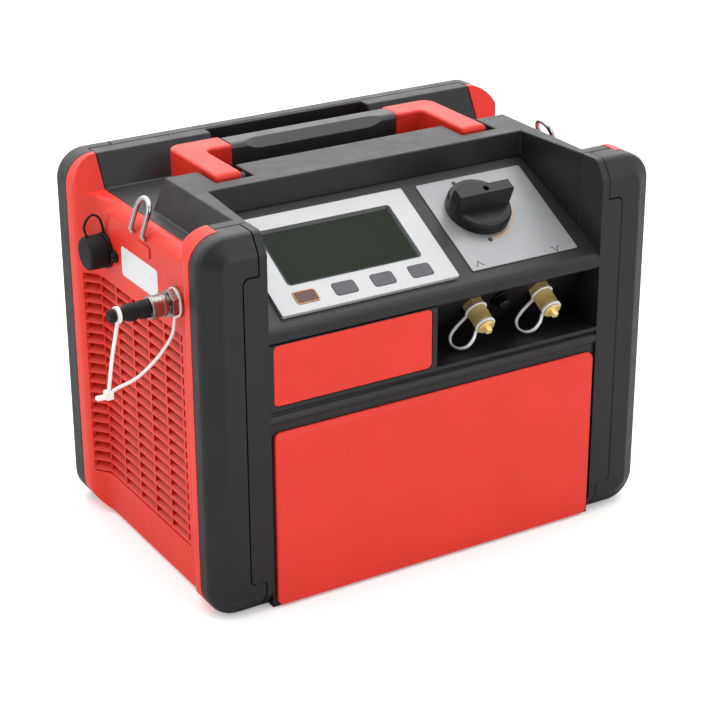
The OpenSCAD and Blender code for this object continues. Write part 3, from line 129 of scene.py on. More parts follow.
ROOM_DARK, ROOM_BRIGHT = 0.10, 2.2
BRIGHT_SIDE = (0.3, 0.6, 0.74)
FADE_FROM, FADE_TO = -0.15, 0.9
world = bpy.data.worlds.new("white_sweep")
scene.world = world
world.use_nodes = True
world_tree = world.node_tree
sky = world_tree.nodes["Background"]
sky.inputs["Color"].default_value = (1, 1, 1, 1)
toward = add(world_tree, "ShaderNodeVectorMath")
toward.operation = "DOT_PRODUCT"
toward.inputs[1].default_value = BRIGHT_SIDE
world_tree.links.new(add(world_tree, "ShaderNodeTexCoord").outputs["Generated"], toward.inputs[0])
room = mapped(world_tree, toward.outputs["Value"], ROOM_DARK, ROOM_BRIGHT, FADE_FROM, FADE_TO)
seen = add(world_tree, "ShaderNodeLightPath").outputs["Is Camera Ray"]
world_tree.links.new(mapped(world_tree, seen, room, 1.0), sky.inputs["Strength"])


def soft_lamp(name, place, target, size, watts):
    """A square area lamp aimed at a point."""
    lamp = bpy.data.objects.new(name, bpy.data.lights.new(name, "AREA"))
    lamp.data.energy = watts
    lamp.data.size = size
    lamp.location = place
    lamp.rotation_mode = "QUATERNION"
    lamp.rotation_quaternion = (Vector(target) - Vector(place)).to_track_quat("-Z", "Y")
    scene.collection.objects.link(lamp)


soft_lamp("top_softbox", (-0.1, 0.15, 1.7), (0, 0, 0.25), 1.6, 9)
soft_lamp("left_softbox", (-1.9, -0.5, 0.9), (-0.1, 0, 0.15), 1.4, 8.5)
soft_lamp("front_softbox", (0.7, -2.0, 0.9), (0.1, -0.1, 0.15), 1.4, 14)

FLOOR_RADIUS, FLOOR_DROP = 6, 0.0003
floor_mesh = bpy.data.meshes.new("studio_floor")
shape = bmesh.new()
bmesh.ops.create_circle(shape, cap_ends=True, segments=64, radius=FLOOR_RADIUS)
shape.to_mesh(floor_mesh)
shape.free()
floor = bpy.data.objects.new("studio_floor", floor_mesh)
floor.location.z = cad_low.z - FLOOR_DROP
scene.collection.objects.link(floor)

paper = bpy.data.materials.new("paper_floor")
paper.use_nodes = True
paper_shader = paper.node_tree.nodes["Principled BSDF"]
paper_shader.inputs["Roughness"].default_value = 0.9
paper_shader.inputs["Specular IOR Level"].default_value = 0.1
paper_shader.inputs["Emission Color"].default_value = (1, 1, 1, 1)
mirrored = add(paper.node_tree, "ShaderNodeLightPath").outputs["Is Glossy Ray"]
PAPER = (("Base Color", 0.86, 0.50), ("Emission Strength", 0.25, 0.0))
for socket, plain, reflected in PAPER:
    paper.node_tree.links.new(mapped(paper.node_tree, mirrored, plain, reflected), paper_shader.inputs[socket])
floor_mesh.materials.append(paper)

# %% [markdown]
# Moulded plastic is never one flat colour: the tool leaves a fine spark-eroded grain, and pigment and gloss
# drift a little.
# Three noises at different scales give that: a slow one for colour, a middle one for gloss, a fine one for bump.
# They read the object's own coordinates in metres, so the grain has a real size on every piece.

# %% Plastic finishes
NOISE_LOW, NOISE_HIGH = 0.3, 0.7
COLOUR_SCALE, GLOSS_SCALE = 22, 70
GRAIN_DEPTH = 0.00006
finishes = {}


def noise(tree, scale, detail=2.0):
    """A noise that reads the object's own coordinates."""
    place = add(tree, "ShaderNodeTexCoord")
    texture = add(tree, "ShaderNodeTexNoise", Scale=scale, Detail=detail)
    tree.links.new(place.outputs["Object"], texture.inputs["Vector"])
    return texture.outputs["Fac"]


def vary(tree, fac, low, high, socket):
    """Maps the useful middle of a noise onto a range, and links it to a socket."""
    tree.links.new(mapped(tree, fac, low, high, NOISE_LOW, NOISE_HIGH), socket)


def tint(tree, fac, dark, light, socket):
    """Blends two close colours by a noise."""
    ramp = add(tree, "ShaderNodeValToRGB")
    for stop, position, colour in zip(ramp.color_ramp.elements, (NOISE_LOW, NOISE_HIGH), (dark, light)):
        stop.position = position
        stop.color = (*colour, 1)
    tree.links.new(fac, ramp.inputs["Fac"])
    tree.links.new(ramp.outputs["Color"], socket)


def raise_grain(tree, fac, strength, socket):
    """Turns a noise into a bump of a real depth in metres."""
    bump = add(tree, "ShaderNodeBump", Distance=GRAIN_DEPTH, Strength=strength)
    tree.links.new(fac, bump.inputs["Height"])
    tree.links.new(bump.outputs["Normal"], socket)


def scaled(colour, factor):
    """A lighter or darker colour."""
    return tuple(min(1.0, c * factor) for c in colour)


def surface(name, colour, rough, drift=0.06, grain=1400, strength=0.3, **constants):
    """Keeps a finish with drifting colour and gloss and a fine grain; constants go straight on the shader."""
    material = bpy.data.materials.new(name)
    material.use_nodes = True
    tree = material.node_tree
    shader = tree.nodes["Principled BSDF"]
    dark, light = scaled(colour, 1 - drift), scaled(colour, 1 + drift)
    tint(tree, noise(tree, COLOUR_SCALE, 4), dark, light, shader.inputs["Base Color"])
    vary(tree, noise(tree, GLOSS_SCALE, 3), rough - 0.04, rough + 0.05, shader.inputs["Roughness"])
    raise_grain(tree, noise(tree, grain), strength, shader.inputs["Normal"])
    for socket, value in constants.items():
        shader.inputs[socket.replace("_", " ")].default_value = value
    finishes[name] = material


RED = dict(colour=(0.66, 0.027, 0.014), rough=0.38, drift=0.04, strength=0.16, Specular_IOR_Level=0.3)
surface("charcoal_plastic", (0.0080, 0.0081, 0.0085), 0.44, drift=0.1, strength=0.4, Specular_IOR_Level=0.45)
surface("red_plastic", **RED)
surface("black_plastic", (0.004, 0.004, 0.0045), 0.34, strength=0.15, Specular_IOR_Level=0.35)
surface("black_rubber", (0.009, 0.009, 0.0095), 0.6, strength=0.5, Specular_IOR_Level=0.2)
surface("grip_rubber", (0.012, 0.012, 0.0125), 0.38, strength=0.3, Specular_IOR_Level=0.7)
surface("key_brown", (0.075, 0.028, 0.022), 0.5)
surface("key_grey", (0.058, 0.062, 0.070), 0.5)
surface("nylon", (0.74, 0.74, 0.72), 0.38, drift=0.02, strength=0.1,
        Subsurface_Weight=0.25, Subsurface_Scale=0.002)
print("plastic finishes:", sorted(finishes))

# %% [markdown]
# Between the louvres of the side panels little light comes back out, so painted shade makes the red deeper
# inwards.
# The depth is read from the object's own X, only below the top of the grille, and it scales colour and gloss down
# as painted shade.

# %% Louvred red with painted shade
FIELD_X, LOUVRE_DEPTH, LOUVRE_FACE = 0.188, 0.006, 0.0004
GRILLE_TOP, GRILLE_FADE = 0.226, 0.004
DEEP_SHADE = 0.28


def shade_louvres(material):
    """Paints shade: scales the colour and the gloss down with the depth below the panel's face."""
    tree = material.node_tree
    shader = tree.nodes["Principled BSDF"]
    base = shader.inputs["Base Color"]
    plain = base.links[0].from_socket
    split = add(tree, "ShaderNodeSeparateXYZ")
    tree.links.new(add(tree, "ShaderNodeTexCoord").outputs["Object"], split.inputs[0])
    from_middle = add(tree, "ShaderNodeMath")
    from_middle.operation = "ABSOLUTE"
    tree.links.new(split.outputs["X"], from_middle.inputs[0])
    depth = mapped(tree, from_middle.outputs[0], DEEP_SHADE, 1.0, FIELD_X - LOUVRE_DEPTH, FIELD_X - LOUVRE_FACE)
    shade = mapped(tree, split.outputs["Z"], depth, 1.0, GRILLE_TOP - GRILLE_FADE, GRILLE_TOP)
    deep = add(tree, "ShaderNodeVectorMath")
    deep.operation = "SCALE"
    tree.links.new(plain, deep.inputs[0])
    tree.links.new(shade, deep.inputs["Scale"])
    tree.links.new(deep.outputs[0], base)
    gloss = shader.inputs["Specular IOR Level"]
    tree.links.new(mapped(tree, shade, 0.0, gloss.default_value), gloss)


surface("red_louvred_painted_shade", **RED)
shade_louvres(finishes["red_louvred_painted_shade"])
print("louvres shaded over", LOUVRE_DEPTH * 1000, "mm")

# %% [markdown]
# The metals differ mostly in colour and in how sharp their reflections are.
# Brass and nickel are turned, so their roughness varies a little; chromed wire is nearly a mirror.
# The console plates are printed foil: silver ink with a faint sparkle, more satin than metal.

# %% Metal and printed finishes
surface("brass", (0.88, 0.66, 0.26), 0.38, drift=0.06, grain=2600, strength=0.12, Metallic=0.6)
surface("chromed_wire", (0.50, 0.51, 0.53), 0.14, drift=0.01, strength=0.03, Metallic=1.0)
surface("nickel_steel", (0.30, 0.285, 0.27), 0.28, drift=0.05, strength=0.08, Metallic=1.0)
surface("cast_aluminium", (0.42, 0.43, 0.44), 0.5, drift=0.1, strength=0.5, Metallic=1.0)
surface("painted_steel", (0.06, 0.062, 0.066), 0.4, strength=0.2)
surface("silver_plate", (0.42, 0.425, 0.435), 0.36, drift=0.015, grain=3500, strength=0.1, Metallic=0.25)
surface("silver_dial", (0.28, 0.285, 0.295), 0.34, drift=0.015, grain=3500, strength=0.1, Metallic=0.35)
surface("display_glass", (0.012, 0.020, 0.012), 0.16, drift=0.05, strength=0.0, Specular_IOR_Level=0.05)
print("all finishes:", len(finishes))

# %% [markdown]
# Every moulded edge on the real machine has a small radius that catches the light.
# CAD solids arrive as triangles with hard edges: welding and dissolving give back clean faces, a bevel rounds the
# edges, and weighted normals keep the large faces flat. Modifiers do all this without touching the CAD mesh.
# Broad faces with deep recesses keep their triangles, because one big face round a recess can close over it.
# A few pieces have such short edges that a clamped bevel would vanish, so they take its full width.

# %% Soften and paint the CAD nodes
WELD_DISTANCE, FLAT_DEG, EDGE_DEG = 0.000004, 0.5, 28
DEFAULT_EDGE = 0.0004
EDGE = {
    "charcoal_plastic": 0.0010,
    "red_plastic": 0.0005,
    "nickel_steel": 0.0003,
    "brass": 0.0003,
    "nylon": 0.0003,
}
NODE_EDGE = {
    "handle_frame": 0.0022,
    "front_panel": 0.0012,
    "front_frame": 0.0007,
    "badge_plate": 0.0006,
    "display_bezel": 0.0005,
    "dial_plate": 0.0004,
    "selector_knob": 0.0009,
}
NODE_FINISH = {
    "dial_plate": "silver_dial",
    "handle_grip": "grip_rubber",
    "condenser": "painted_steel",
    # The side panels take the red with painted shade in the louvres.
    "side_panel_left": "red_louvred_painted_shade",
    "side_panel_right": "red_louvred_painted_shade",
}
KEEP_TRIANGLES = ("top_cover", "front_frame")
FULL_WIDTH = ("top_cover", "handle_frame", "handle_grip")


def soften(piece, width):
    """Rounds the sharper edges of a piece."""
    weld = piece.modifiers.new("weld", "WELD")
    weld.merge_threshold = WELD_DISTANCE
    if piece.name not in KEEP_TRIANGLES:
        flat = piece.modifiers.new("flat", "DECIMATE")
        flat.decimate_type = "DISSOLVE"
        flat.angle_limit = math.radians(FLAT_DEG)
    edge = piece.modifiers.new("edge", "BEVEL")
    edge.width = width
    edge.segments = 3
    edge.limit_method = "ANGLE"
    edge.angle_limit = math.radians(EDGE_DEG)
    edge.use_clamp_overlap = piece.name not in FULL_WIDTH
    edge.loop_slide = False
    shade = piece.modifiers.new("shade", "WEIGHTED_NORMAL")
    shade.keep_sharp = True


slot_of = {row["node"]: row["material_slot"] for row in frame["record"]["subparts"]}
for node, piece in nodes.items():
    slot = slot_of[node]
    piece.data.materials.clear()
    piece.data.materials.append(finishes[NODE_FINISH.get(node, slot)])
    soften(piece, NODE_EDGE.get(node, EDGE.get(slot, DEFAULT_EDGE)))
print("softened:", len(nodes))

# %% [markdown]
# Most small pieces here are lofts: a stack of closed rings joined by quads, with the first and last ring capped.
# A ring can be a circle, a rounded rectangle or the section of a strap, so one short helper builds them all.
# The helper bakes the place into the vertices, as the CAD nodes do, and lets the piece ride its body.

# %% Loft helper
SHARP_DEG = 38


def band(shape, rings, closed=False):
    """Adds rings joined by quads to a bmesh, capped at both ends or closed into a loop."""
    loops = [[shape.verts.new(point) for point in ring] for ring in rings]
    for a, b in zip(loops, loops[1:] + (loops[:1] if closed else [])):
        for i in range(len(a)):
            j = (i + 1) % len(a)
            shape.faces.new((a[i], a[j], b[j], b[i]))
    if not closed:
        shape.faces.new(loops[0])
        shape.faces.new(loops[-1])


def settle(name, shape, finish, body=None, stands_for=()):
    """Turns a finished bmesh into a smooth-shaded piece that rides on a body."""
    bmesh.ops.recalc_face_normals(shape, faces=shape.faces)
    mesh = bpy.data.meshes.new(name)
    shape.to_mesh(mesh)
    shape.free()
    mesh.materials.append(finishes[finish])
    piece = bpy.data.objects.new(name, mesh)
    scene.collection.objects.link(piece)
    for face in mesh.polygons:
        face.use_smooth = True
    mesh.set_sharp_from_angle(angle=math.radians(SHARP_DEG))
    if body:
        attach(piece, body)
    if stands_for:
        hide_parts(*stands_for)
    return piece


def loft(name, rings, finish, body, closed=False, stands_for=()):
    """Makes one piece from one stack of rings of world points."""
    shape = bmesh.new()
    band(shape, rings, closed)
    settle(name, shape, finish, body, stands_for)


def circle(radius, steps, wave=0.0, teeth=0):
    """Points of a circle, with an optional knurl of that many teeth."""
    points = []
    for i in range(steps):
        turn = 2 * math.pi * i / steps
        reach = radius + wave * math.cos(teeth * turn)
        points.append((reach * math.cos(turn), reach * math.sin(turn)))
    return points


def round_outline(width, height, radius, steps=6):
    """Points of a rectangle with round corners, centred."""
    points = []
    for quarter, (sx, sy) in enumerate(((1, 1), (-1, 1), (-1, -1), (1, -1))):
        for i in range(steps + 1):
            turn = math.radians(90 * quarter + 90 * i / steps)
            points.append((sx * (width / 2 - radius) + radius * math.cos(turn),
                           sy * (height / 2 - radius) + radius * math.sin(turn)))
    return points


def frame_at(origin, across, up):
    """A matrix whose X, Y and Z are across, up and out of a face."""
    out = across.cross(up)
    matrix = Matrix((across, up, out)).transposed().to_4x4()
    matrix.translation = origin
    return matrix


def ring_at(place, points, height):
    """Puts flat points into the world, at a height above a face."""
    return [place @ Vector((x, y, height)) for x, y in points]


print("loft helper ready")

# %% [markdown]
# The console is a sloping deck, and everything printed on it is set out from the selector's axis.
# The joint of the selector gives that axis and its centre, so no angle has to be typed in twice.
# The height of each plate above the deck is measured from its CAD node.

# %% Console frame
knob_centre = Vector(joints["selector_turn"]["pos_m"])
console_out = Vector(joints["selector_turn"]["axis"])
console_across = Vector((1, 0, 0))
console_up = console_out.cross(console_across)


def above_deck(node):
    """How far a node stands above the console's deck."""
    return max((vertex.co - knob_centre).dot(console_out) for vertex in nodes[node].data.vertices)


def middle_of(node):
    """Middle and size of a node, measured across and up the console from the selector."""
    offsets = [vertex.co - knob_centre for vertex in nodes[node].data.vertices]
    spans = [[offset.dot(way) for offset in offsets] for way in (console_across, console_up)]
    return [(min(span) + max(span)) / 2 for span in spans], [max(span) - min(span) for span in spans]


console = frame_at(knob_centre, console_across, console_up)
dial_top = above_deck("dial_plate")
print("dial plate stands", round(dial_top * 1000, 2), "mm above the deck")

# %% [markdown]
# Printing on the selector plate: two dots where the selector's positions end, a fine orange arc between them,
# and two plain arrows that point to the ports below. Real ink is a few hundredths of a millimetre thick.
# Raised outlines this thin look like ink from any side, and they keep their place when the selector turns.

# %% Selector plate printing
INK = 0.00012
surface("ink_dark", (0.018, 0.018, 0.02), 0.45, strength=0.05)
surface("ink_orange", (0.72, 0.33, 0.06), 0.45, strength=0.05)


def printed(name, outlines, finish, node):
    """Flat ink on top of a console plate, from outlines measured from the selector's axis."""
    base = above_deck(node)
    shape = bmesh.new()
    for outline in outlines:
        band(shape, [ring_at(console, outline, base - INK), ring_at(console, outline, base + INK)])
    settle(name, shape, finish, "housing")


def moved(points, x, y):
    """Shifts flat points."""
    return [(px + x, py + y) for px, py in points]


def arc_band(radius, width, start, end, steps=36):
    """Outline of a thin arc, in degrees counter-clockwise from across."""
    turns = [math.radians(start + (end - start) * i / steps) for i in range(steps + 1)]
    outer = [((radius + width / 2) * math.cos(t), (radius + width / 2) * math.sin(t)) for t in turns]
    inner = [((radius - width / 2) * math.cos(t), (radius - width / 2) * math.sin(t)) for t in turns]
    return outer + inner[::-1]


def stroke(points, width):
    """Outline of a mitred line through points."""
    left, right = [], []
    for i, point in enumerate(points):
        here = Vector(point)
        before = (here - Vector(points[i - 1])).normalized() if i else None
        after = (Vector(points[i + 1]) - here).normalized() if i + 1 < len(points) else None
        along = ((before or after) + (after or before)).normalized()
        side = Vector((-along.y, along.x))
        reach = width / 2 / max(0.3, side.dot(Vector((-(after or before).y, (after or before).x))))
        left.append(tuple(here + side * reach))
        right.append(tuple(here - side * reach))
    return left + right[::-1]


DOT_R = 0.0021
DOT_AT = 0.0316
DOT_TURNS = (97, -100.5)
dots = []
for degrees in DOT_TURNS:
    turn = math.radians(degrees)
    dots.append(moved(circle(DOT_R, 24), DOT_AT * math.cos(turn), DOT_AT * math.sin(turn)))
printed("selector_dots", dots, "ink_dark", "dial_plate")

ARC_R, ARC_W = 0.0298, 0.0009
ARC_TURNS = ((-96.5, -4), (20, 93))
arcs = [arc_band(ARC_R, ARC_W, start, end) for start, end in ARC_TURNS]
printed("selector_arcs", arcs, "ink_orange", "dial_plate")

ARROW = ((-0.0044, -0.0021), (-0.0022, -0.0021), (0, 0.0024), (0.0022, -0.0021), (0.0044, -0.0021))
ARROW_W = 0.0006
IN_AT, OUT_AT = (-0.0280, -0.0510), (0.0430, -0.0540)
arrow_in = moved(stroke(ARROW, ARROW_W), *IN_AT)
arrow_out = moved(stroke([(x, -y) for x, y in ARROW], ARROW_W), *OUT_AT)
printed("port_arrows", [arrow_in, arrow_out], "ink_dark", "dial_plate")
print("printed: dots", len(dots), "arcs", len(arcs), "arrows 2")

# %% [markdown]
# The first key is printed in brown with a thin orange line round it; the other three are plain grey.
# The line is a ring of ink on the key's own top, so it travels with the key when it is pressed.

# %% Key outline
OUTER_SET, OUTER_R = 0.0002, 0.0024
INNER_SET, INNER_R = 0.0013, 0.0019
key_middle, key_size = middle_of("key_1")
outer = moved(round_outline(key_size[0] - OUTER_SET, key_size[1] - OUTER_SET, OUTER_R), *key_middle)
inner = moved(round_outline(key_size[0] - INNER_SET, key_size[1] - INNER_SET, INNER_R), *key_middle)
key_top = above_deck("key_1")
rings = [ring_at(console, outer, key_top - INK), ring_at(console, outer, key_top + INK),
         ring_at(console, inner, key_top + INK), ring_at(console, inner, key_top - INK)]
loft("key_outline", rings, "ink_orange", "key_1", closed=True)
print("key outline on a key of", [round(v * 1000, 1) for v in key_size], "mm")

# %% [markdown]
# The display sits behind a dark gasket that slopes from the bezel's edge down to the glass.
# Its rounded lip catches a thin bright line, which is how the eye reads the recess.
# Each row below is one rounded rectangle: how much larger than the glass, its height and its corner radius.
# Together, in order, they give lip, slope, foot and underside.

# %% Display gasket
glass_middle, glass_size = middle_of("display_window")
bezel_top = above_deck("display_bezel")
glass_top = above_deck("display_window")
surface("gasket", (0.02, 0.02, 0.021), 0.25, strength=0.05)
GASKET = (
    (0.0010, bezel_top + 0.00005, 0.0030),
    (0.0008, bezel_top + 0.00045, 0.0029),
    (0.0, bezel_top + 0.00055, 0.0027),
    (-0.0010, bezel_top + 0.00030, 0.0024),
    (-0.0042, glass_top + 0.0001, 0.0016),
    (-0.0042, glass_top - 0.0002, 0.0016),
    (-0.0006, glass_top - 0.0002, 0.0026),
)
rings = []
for grow, height, radius in GASKET:
    outline = moved(round_outline(glass_size[0] + grow, glass_size[1] + grow, radius), *glass_middle)
    rings.append(ring_at(console, outline, height))
loft("display_gasket", rings, "gasket", "housing", closed=True)
print("display recess", round((bezel_top - glass_top) * 1000, 2), "mm deep")

# %% [markdown]
# A blank sticker sits on the left field between the coupler and the capped socket.
# A printed film is thin but not flat like paint: it has an edge, round corners and more gloss than the plastic.

# %% Side sticker
STICKER_SIZE = (0.063, 0.024)
STICKER_MIDDLE = (-0.0015, 0.240)
STICKER_R, STICKER_SUNK, STICKER_THICK = 0.003, -0.00005, 0.0002


def on_left(y, z, out=0.0):
    """A frame on the left field, facing out, with its X to the front and its Y up."""
    return frame_at(Vector((-FIELD_X - out, y, z)), Vector((0, -1, 0)), Vector((0, 0, 1)))


surface("sticker_film", (0.62, 0.63, 0.64), 0.3, drift=0.015, strength=0.04)
outline = round_outline(*STICKER_SIZE, STICKER_R)
rings = [ring_at(on_left(*STICKER_MIDDLE), outline, height) for height in (STICKER_SUNK, STICKER_THICK)]
loft("side_sticker", rings, "sticker_film", "housing")
print("sticker", [round(v * 1000) for v in STICKER_SIZE], "mm")

# %% [markdown]
# The shoulder of each side panel is rounded along the field, and the rounding has to run out at the ends.
# A short red piece does that at each end: its outer radius shrinks to almost nothing, and it follows the
# field as that bends outwards.
# An ease-in and ease-out of the radius keeps the highlight smooth.

# %% Shoulder run-outs
SHOULDER_R, SHOULDER_Z = 0.010, 0.2795
FIELD_ENDS = ((0.0739, 1), (-0.0849, -1))
RUN_OUT, FIELD_BEND, BEND_REACH = 0.022, 0.016, 0.0056
RUN_STEPS, CORNER_STEPS = 24, 12
FULL_R, END_R = SHOULDER_R + 0.0003, 0.0004
SKIN, LAP, SUNK, PAST_END = 0.0015, 0.0005, 0.00004, 0.0002


def shoulder_ring(side, y, radius, bulge):
    """Section of a run-out: side, round corner and top outside, the panel's own rounding inside."""
    quarter = [math.radians(90 * k / CORNER_STEPS) for k in range(CORNER_STEPS + 1)]
    face = FIELD_X + bulge
    section = [(face, SHOULDER_Z - SHOULDER_R - LAP)]
    section += [(face - radius + radius * math.cos(a), SHOULDER_Z - radius + radius * math.sin(a))
                for a in quarter]
    section.append((FIELD_X - SHOULDER_R - LAP, SHOULDER_Z - SUNK))
    inner = SHOULDER_R - SKIN
    section += [(FIELD_X - SHOULDER_R + inner * math.cos(a), SHOULDER_Z - SHOULDER_R + inner * math.sin(a))
                for a in reversed(quarter)]
    return [Vector((side * x, y, z)) for x, z in section]


for side_name, side in (("left", -1), ("right", 1)):
    for end_name, (end_y, toward_end) in zip(("rear", "front"), FIELD_ENDS):
        rings = []
        for step in range(RUN_STEPS + 1):
            share = step / RUN_STEPS
            before_end = RUN_OUT * (1 - share)
            ease = share ** 2 * (3 - 2 * share)
            into_bend = max(0.0, BEND_REACH - before_end)
            bulge = FIELD_BEND - math.sqrt(FIELD_BEND ** 2 - into_bend ** 2) - SUNK
            radius = FULL_R * (1 - ease) + END_R * ease
            rings.append(shoulder_ring(side, end_y - toward_end * (before_end - PAST_END), radius, bulge))
        loft(f"shoulder_{end_name}_{side_name}", rings, "red_plastic", "housing")
print("shoulder run-outs: 4")

# %% [markdown]
# Straps, tether and tie are all swept: a section is carried along a smooth line through a few given points.
# The line passes through each point, so a point can be moved to follow the photo without disturbing the rest.
# The section is a flat band with round edges, and a small ring makes the eye at a strap's end.

# %% Strap helper
MM = 0.001
ROUND_EDGE = 0.55
EYE_SOFT = 0.0003


def smooth_path(points, steps=10):
    """A smooth line through given points."""
    knots = [Vector(p) for p in points]
    line = []
    for i in range(len(knots) - 1):
        a, b = knots[max(i - 1, 0)], knots[i]
        c, d = knots[i + 1], knots[min(i + 2, len(knots) - 1)]
        for k in range(steps):
            t = k / steps
            line.append(b + (c - a) * t / 2 + (a - 2.5 * b + 2 * c - d / 2) * t * t
                        + (1.5 * b - 1.5 * c + d / 2 - a / 2) * t ** 3)
    return line + [knots[-1]]


def band_rings(points, wide, thick, width, sides=16):
    """Rings of a flat band with round edges along a path; wide is the direction across the band."""
    line = smooth_path(points)
    rings = []
    for i, here in enumerate(line):
        along = (line[min(i + 1, len(line) - 1)] - line[max(i - 1, 0)]).normalized()
        flat = along.cross(wide).normalized()
        ring = []
        for k in range(sides):
            turn = 2 * math.pi * (k + 0.5) / sides
            c, s = math.cos(turn), math.sin(turn)
            ring.append(here + flat * (math.copysign(abs(c) ** ROUND_EDGE, c) * thick / 2)
                        + wide * (math.copysign(abs(s) ** ROUND_EDGE, s) * width / 2))
        rings.append(ring)
    return rings


def washer(shape, place, inner, outer, low, high, steps=48):
    """Adds a ring with a square section and softened outer corners to a bmesh."""
    soft = min(EYE_SOFT, (high - low) / 4)
    section = ((inner, low), (outer - soft, low), (outer, low + soft),
               (outer, high - soft), (outer - soft, high), (inner, high))
    band(shape, [ring_at(place, circle(radius, steps), height) for radius, height in section], closed=True)


print("strap helper ready")

# %% [markdown]
# The caps hang on white nylon straps: each leaves a washer under the cap, swings out in a loop and returns to
# a ring near the cap's end.

# %% Cap straps
PORT_OUT = Vector(joints["cap_left_unscrew"]["axis"])
PORT_UP = PORT_OUT.cross(Vector((1, 0, 0)))
STRAP_TURN = math.radians(222)
STRAP_THICK, STRAP_WIDTH = 0.0018, 0.0036
STRAP_EYE = dict(inner=0.00572, outer=0.0094, low=0.00555, high=0.0071)
CAP_STRAP = (
    (8.8, 6.3), (14, 7.6), (21, 9.4), (28, 13), (30.4, 19.4), (27, 26), (20.6, 28.4), (13.4, 26), (8.6, 21.6),
)
strap_side = Vector((1, 0, 0)) * math.cos(STRAP_TURN) + PORT_UP * math.sin(STRAP_TURN)
strap_wide = PORT_OUT.cross(strap_side)
for side in ("left", "right"):
    seat = Vector(joints[f"cap_{side}_unscrew"]["pos_m"])
    port_frame = frame_at(seat, Vector((1, 0, 0)), PORT_UP)
    points = [seat + strap_side * r * MM + PORT_OUT * z * MM for r, z in CAP_STRAP]
    shape = bmesh.new()
    band(shape, band_rings(points, strap_wide, STRAP_THICK, STRAP_WIDTH))
    washer(shape, port_frame, **STRAP_EYE)
    strap = settle(f"nylon_strap_{side}", shape, "nylon", stands_for=[f"cap_strap_{side}"])
    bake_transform(strap)
print("cap straps: 2")

# %% [markdown]
# The socket's cap is held by a thin rubber cord, and the coupler's dust plug by a nylon tie with a lock head.
# Both are swept the same way.
# A screw holds the lug beside the socket.

# %% Tether and tie


def beside(y, z):
    """Maps points given as up and out, in millimetres, to the left field at y, z."""
    return lambda up, out: Vector((-FIELD_X - out * MM, y, z + up * MM))


SOCKET = (0.059, 0.239)
TETHER = ((12.5, 15), (21, 17.5), (28, 14.5), (30.5, 9.5), (27, 4.5), (19.5, 2), (13.5, 1.5))
TETHER_THICK = 0.0018
sideways = Vector((0, 1, 0))
at_socket = beside(*SOCKET)
shape = bmesh.new()
band(shape, band_rings([at_socket(*p) for p in TETHER], sideways, TETHER_THICK, TETHER_THICK))
tether = settle("cap_tether", shape, "black_rubber", stands_for=["socket_tether"])
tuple(at_socket(0, 2))
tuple(at_socket(0, 14))
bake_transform(tether)

LUG_Y, LUG_TOP = SOCKET[0] - 0.0186, 0.003
SCREW = ((1.55, -2.0), (1.55, 0.05), (2.9, 0.05), (3.1, 0.4), (2.7, 1.2), (1.6, 1.7), (0.5, 1.8))
lug_frame = on_left(LUG_Y, SOCKET[1], LUG_TOP)
rings = [ring_at(lug_frame, circle(r * MM, 32), z * MM) for r, z in SCREW]
loft("socket_screw", rings, "black_plastic", "housing")

COUPLER = (-0.066, 0.239)
TIE_DROP = ((-5.8, 48.75), (-35, 55), (-61, 59))
TIE_RETURN = ((-61, 59), (-57.5, 52), (-53.5, 37), (-45.5, 24), (-36, 13.5), (-25, 5.5), (-10.8, 2.8))
TIE_WIDTH, DROP_THICK, RETURN_THICK = 0.0034, 0.0021, 0.0015
PLUG_EYE = dict(inner=0.00385, outer=0.00645, low=0.04725, high=0.05025)
COUPLER_EYE = dict(inner=0.0066, outer=0.0115, low=0.00205, high=0.0036)
LOCK = ((-61, 59), (0.0052, 0.0060, 0.0068))
TAIL = ((-62, 65), (0.0034, 0.0080, 0.0030))
LOCK_CORNER = 0.0012
at_coupler = beside(*COUPLER)
shape = bmesh.new()
band(shape, band_rings([at_coupler(*p) for p in TIE_DROP], sideways, DROP_THICK, TIE_WIDTH))
band(shape, band_rings([at_coupler(*p) for p in TIE_RETURN], sideways, RETURN_THICK, TIE_WIDTH))
washer(shape, on_left(*COUPLER), **PLUG_EYE)
washer(shape, on_left(*COUPLER), **COUPLER_EYE)
for middle, (thick, wide, tall) in (LOCK, TAIL):
    outline = round_outline(wide, tall, LOCK_CORNER)
    lock_frame = frame_at(at_coupler(*middle), Vector((-1, 0, 0)), Vector((0, 0, 1)))
    band(shape, [ring_at(lock_frame, outline, side * thick / 2) for side in (-1, -0.6, 0.6, 1)])
tie = settle("plug_tie", shape, "nylon", stands_for=["plug_strap"])
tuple(at_coupler(0, 3))
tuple(at_coupler(0, 46))
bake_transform(tie)
print("tether and tie made")

# %% [markdown]
# The eyes for the shoulder strap are bent from chromed wire, and a mirror shows every facet of a coarse tube.
# So the same bend is swept again with many more rings: a short foot in the panel, a leg, a half-round top and
# back down.
# The lean of the eye and the places of its feet come from the CAD node's own points.

# %% Wire eyes
WIRE_R, BEND_R = 0.002, 0.0035
ARCH_STEPS = 24


def tube_rings(line, radius, sides=24):
    """Rings of a round tube along a line that bends in more than one plane."""
    turn = None
    rings = []
    for i, here in enumerate(line):
        along = (line[min(i + 1, len(line) - 1)] - line[max(i - 1, 0)]).normalized()
        if turn is None:
            turn = along.orthogonal().normalized()
        turn = (turn - along * turn.dot(along)).normalized()
        side = along.cross(turn)
        rings.append([here + turn * (radius * math.cos(2 * math.pi * k / sides))
                      + side * (radius * math.sin(2 * math.pi * k / sides)) for k in range(sides)])
    return rings


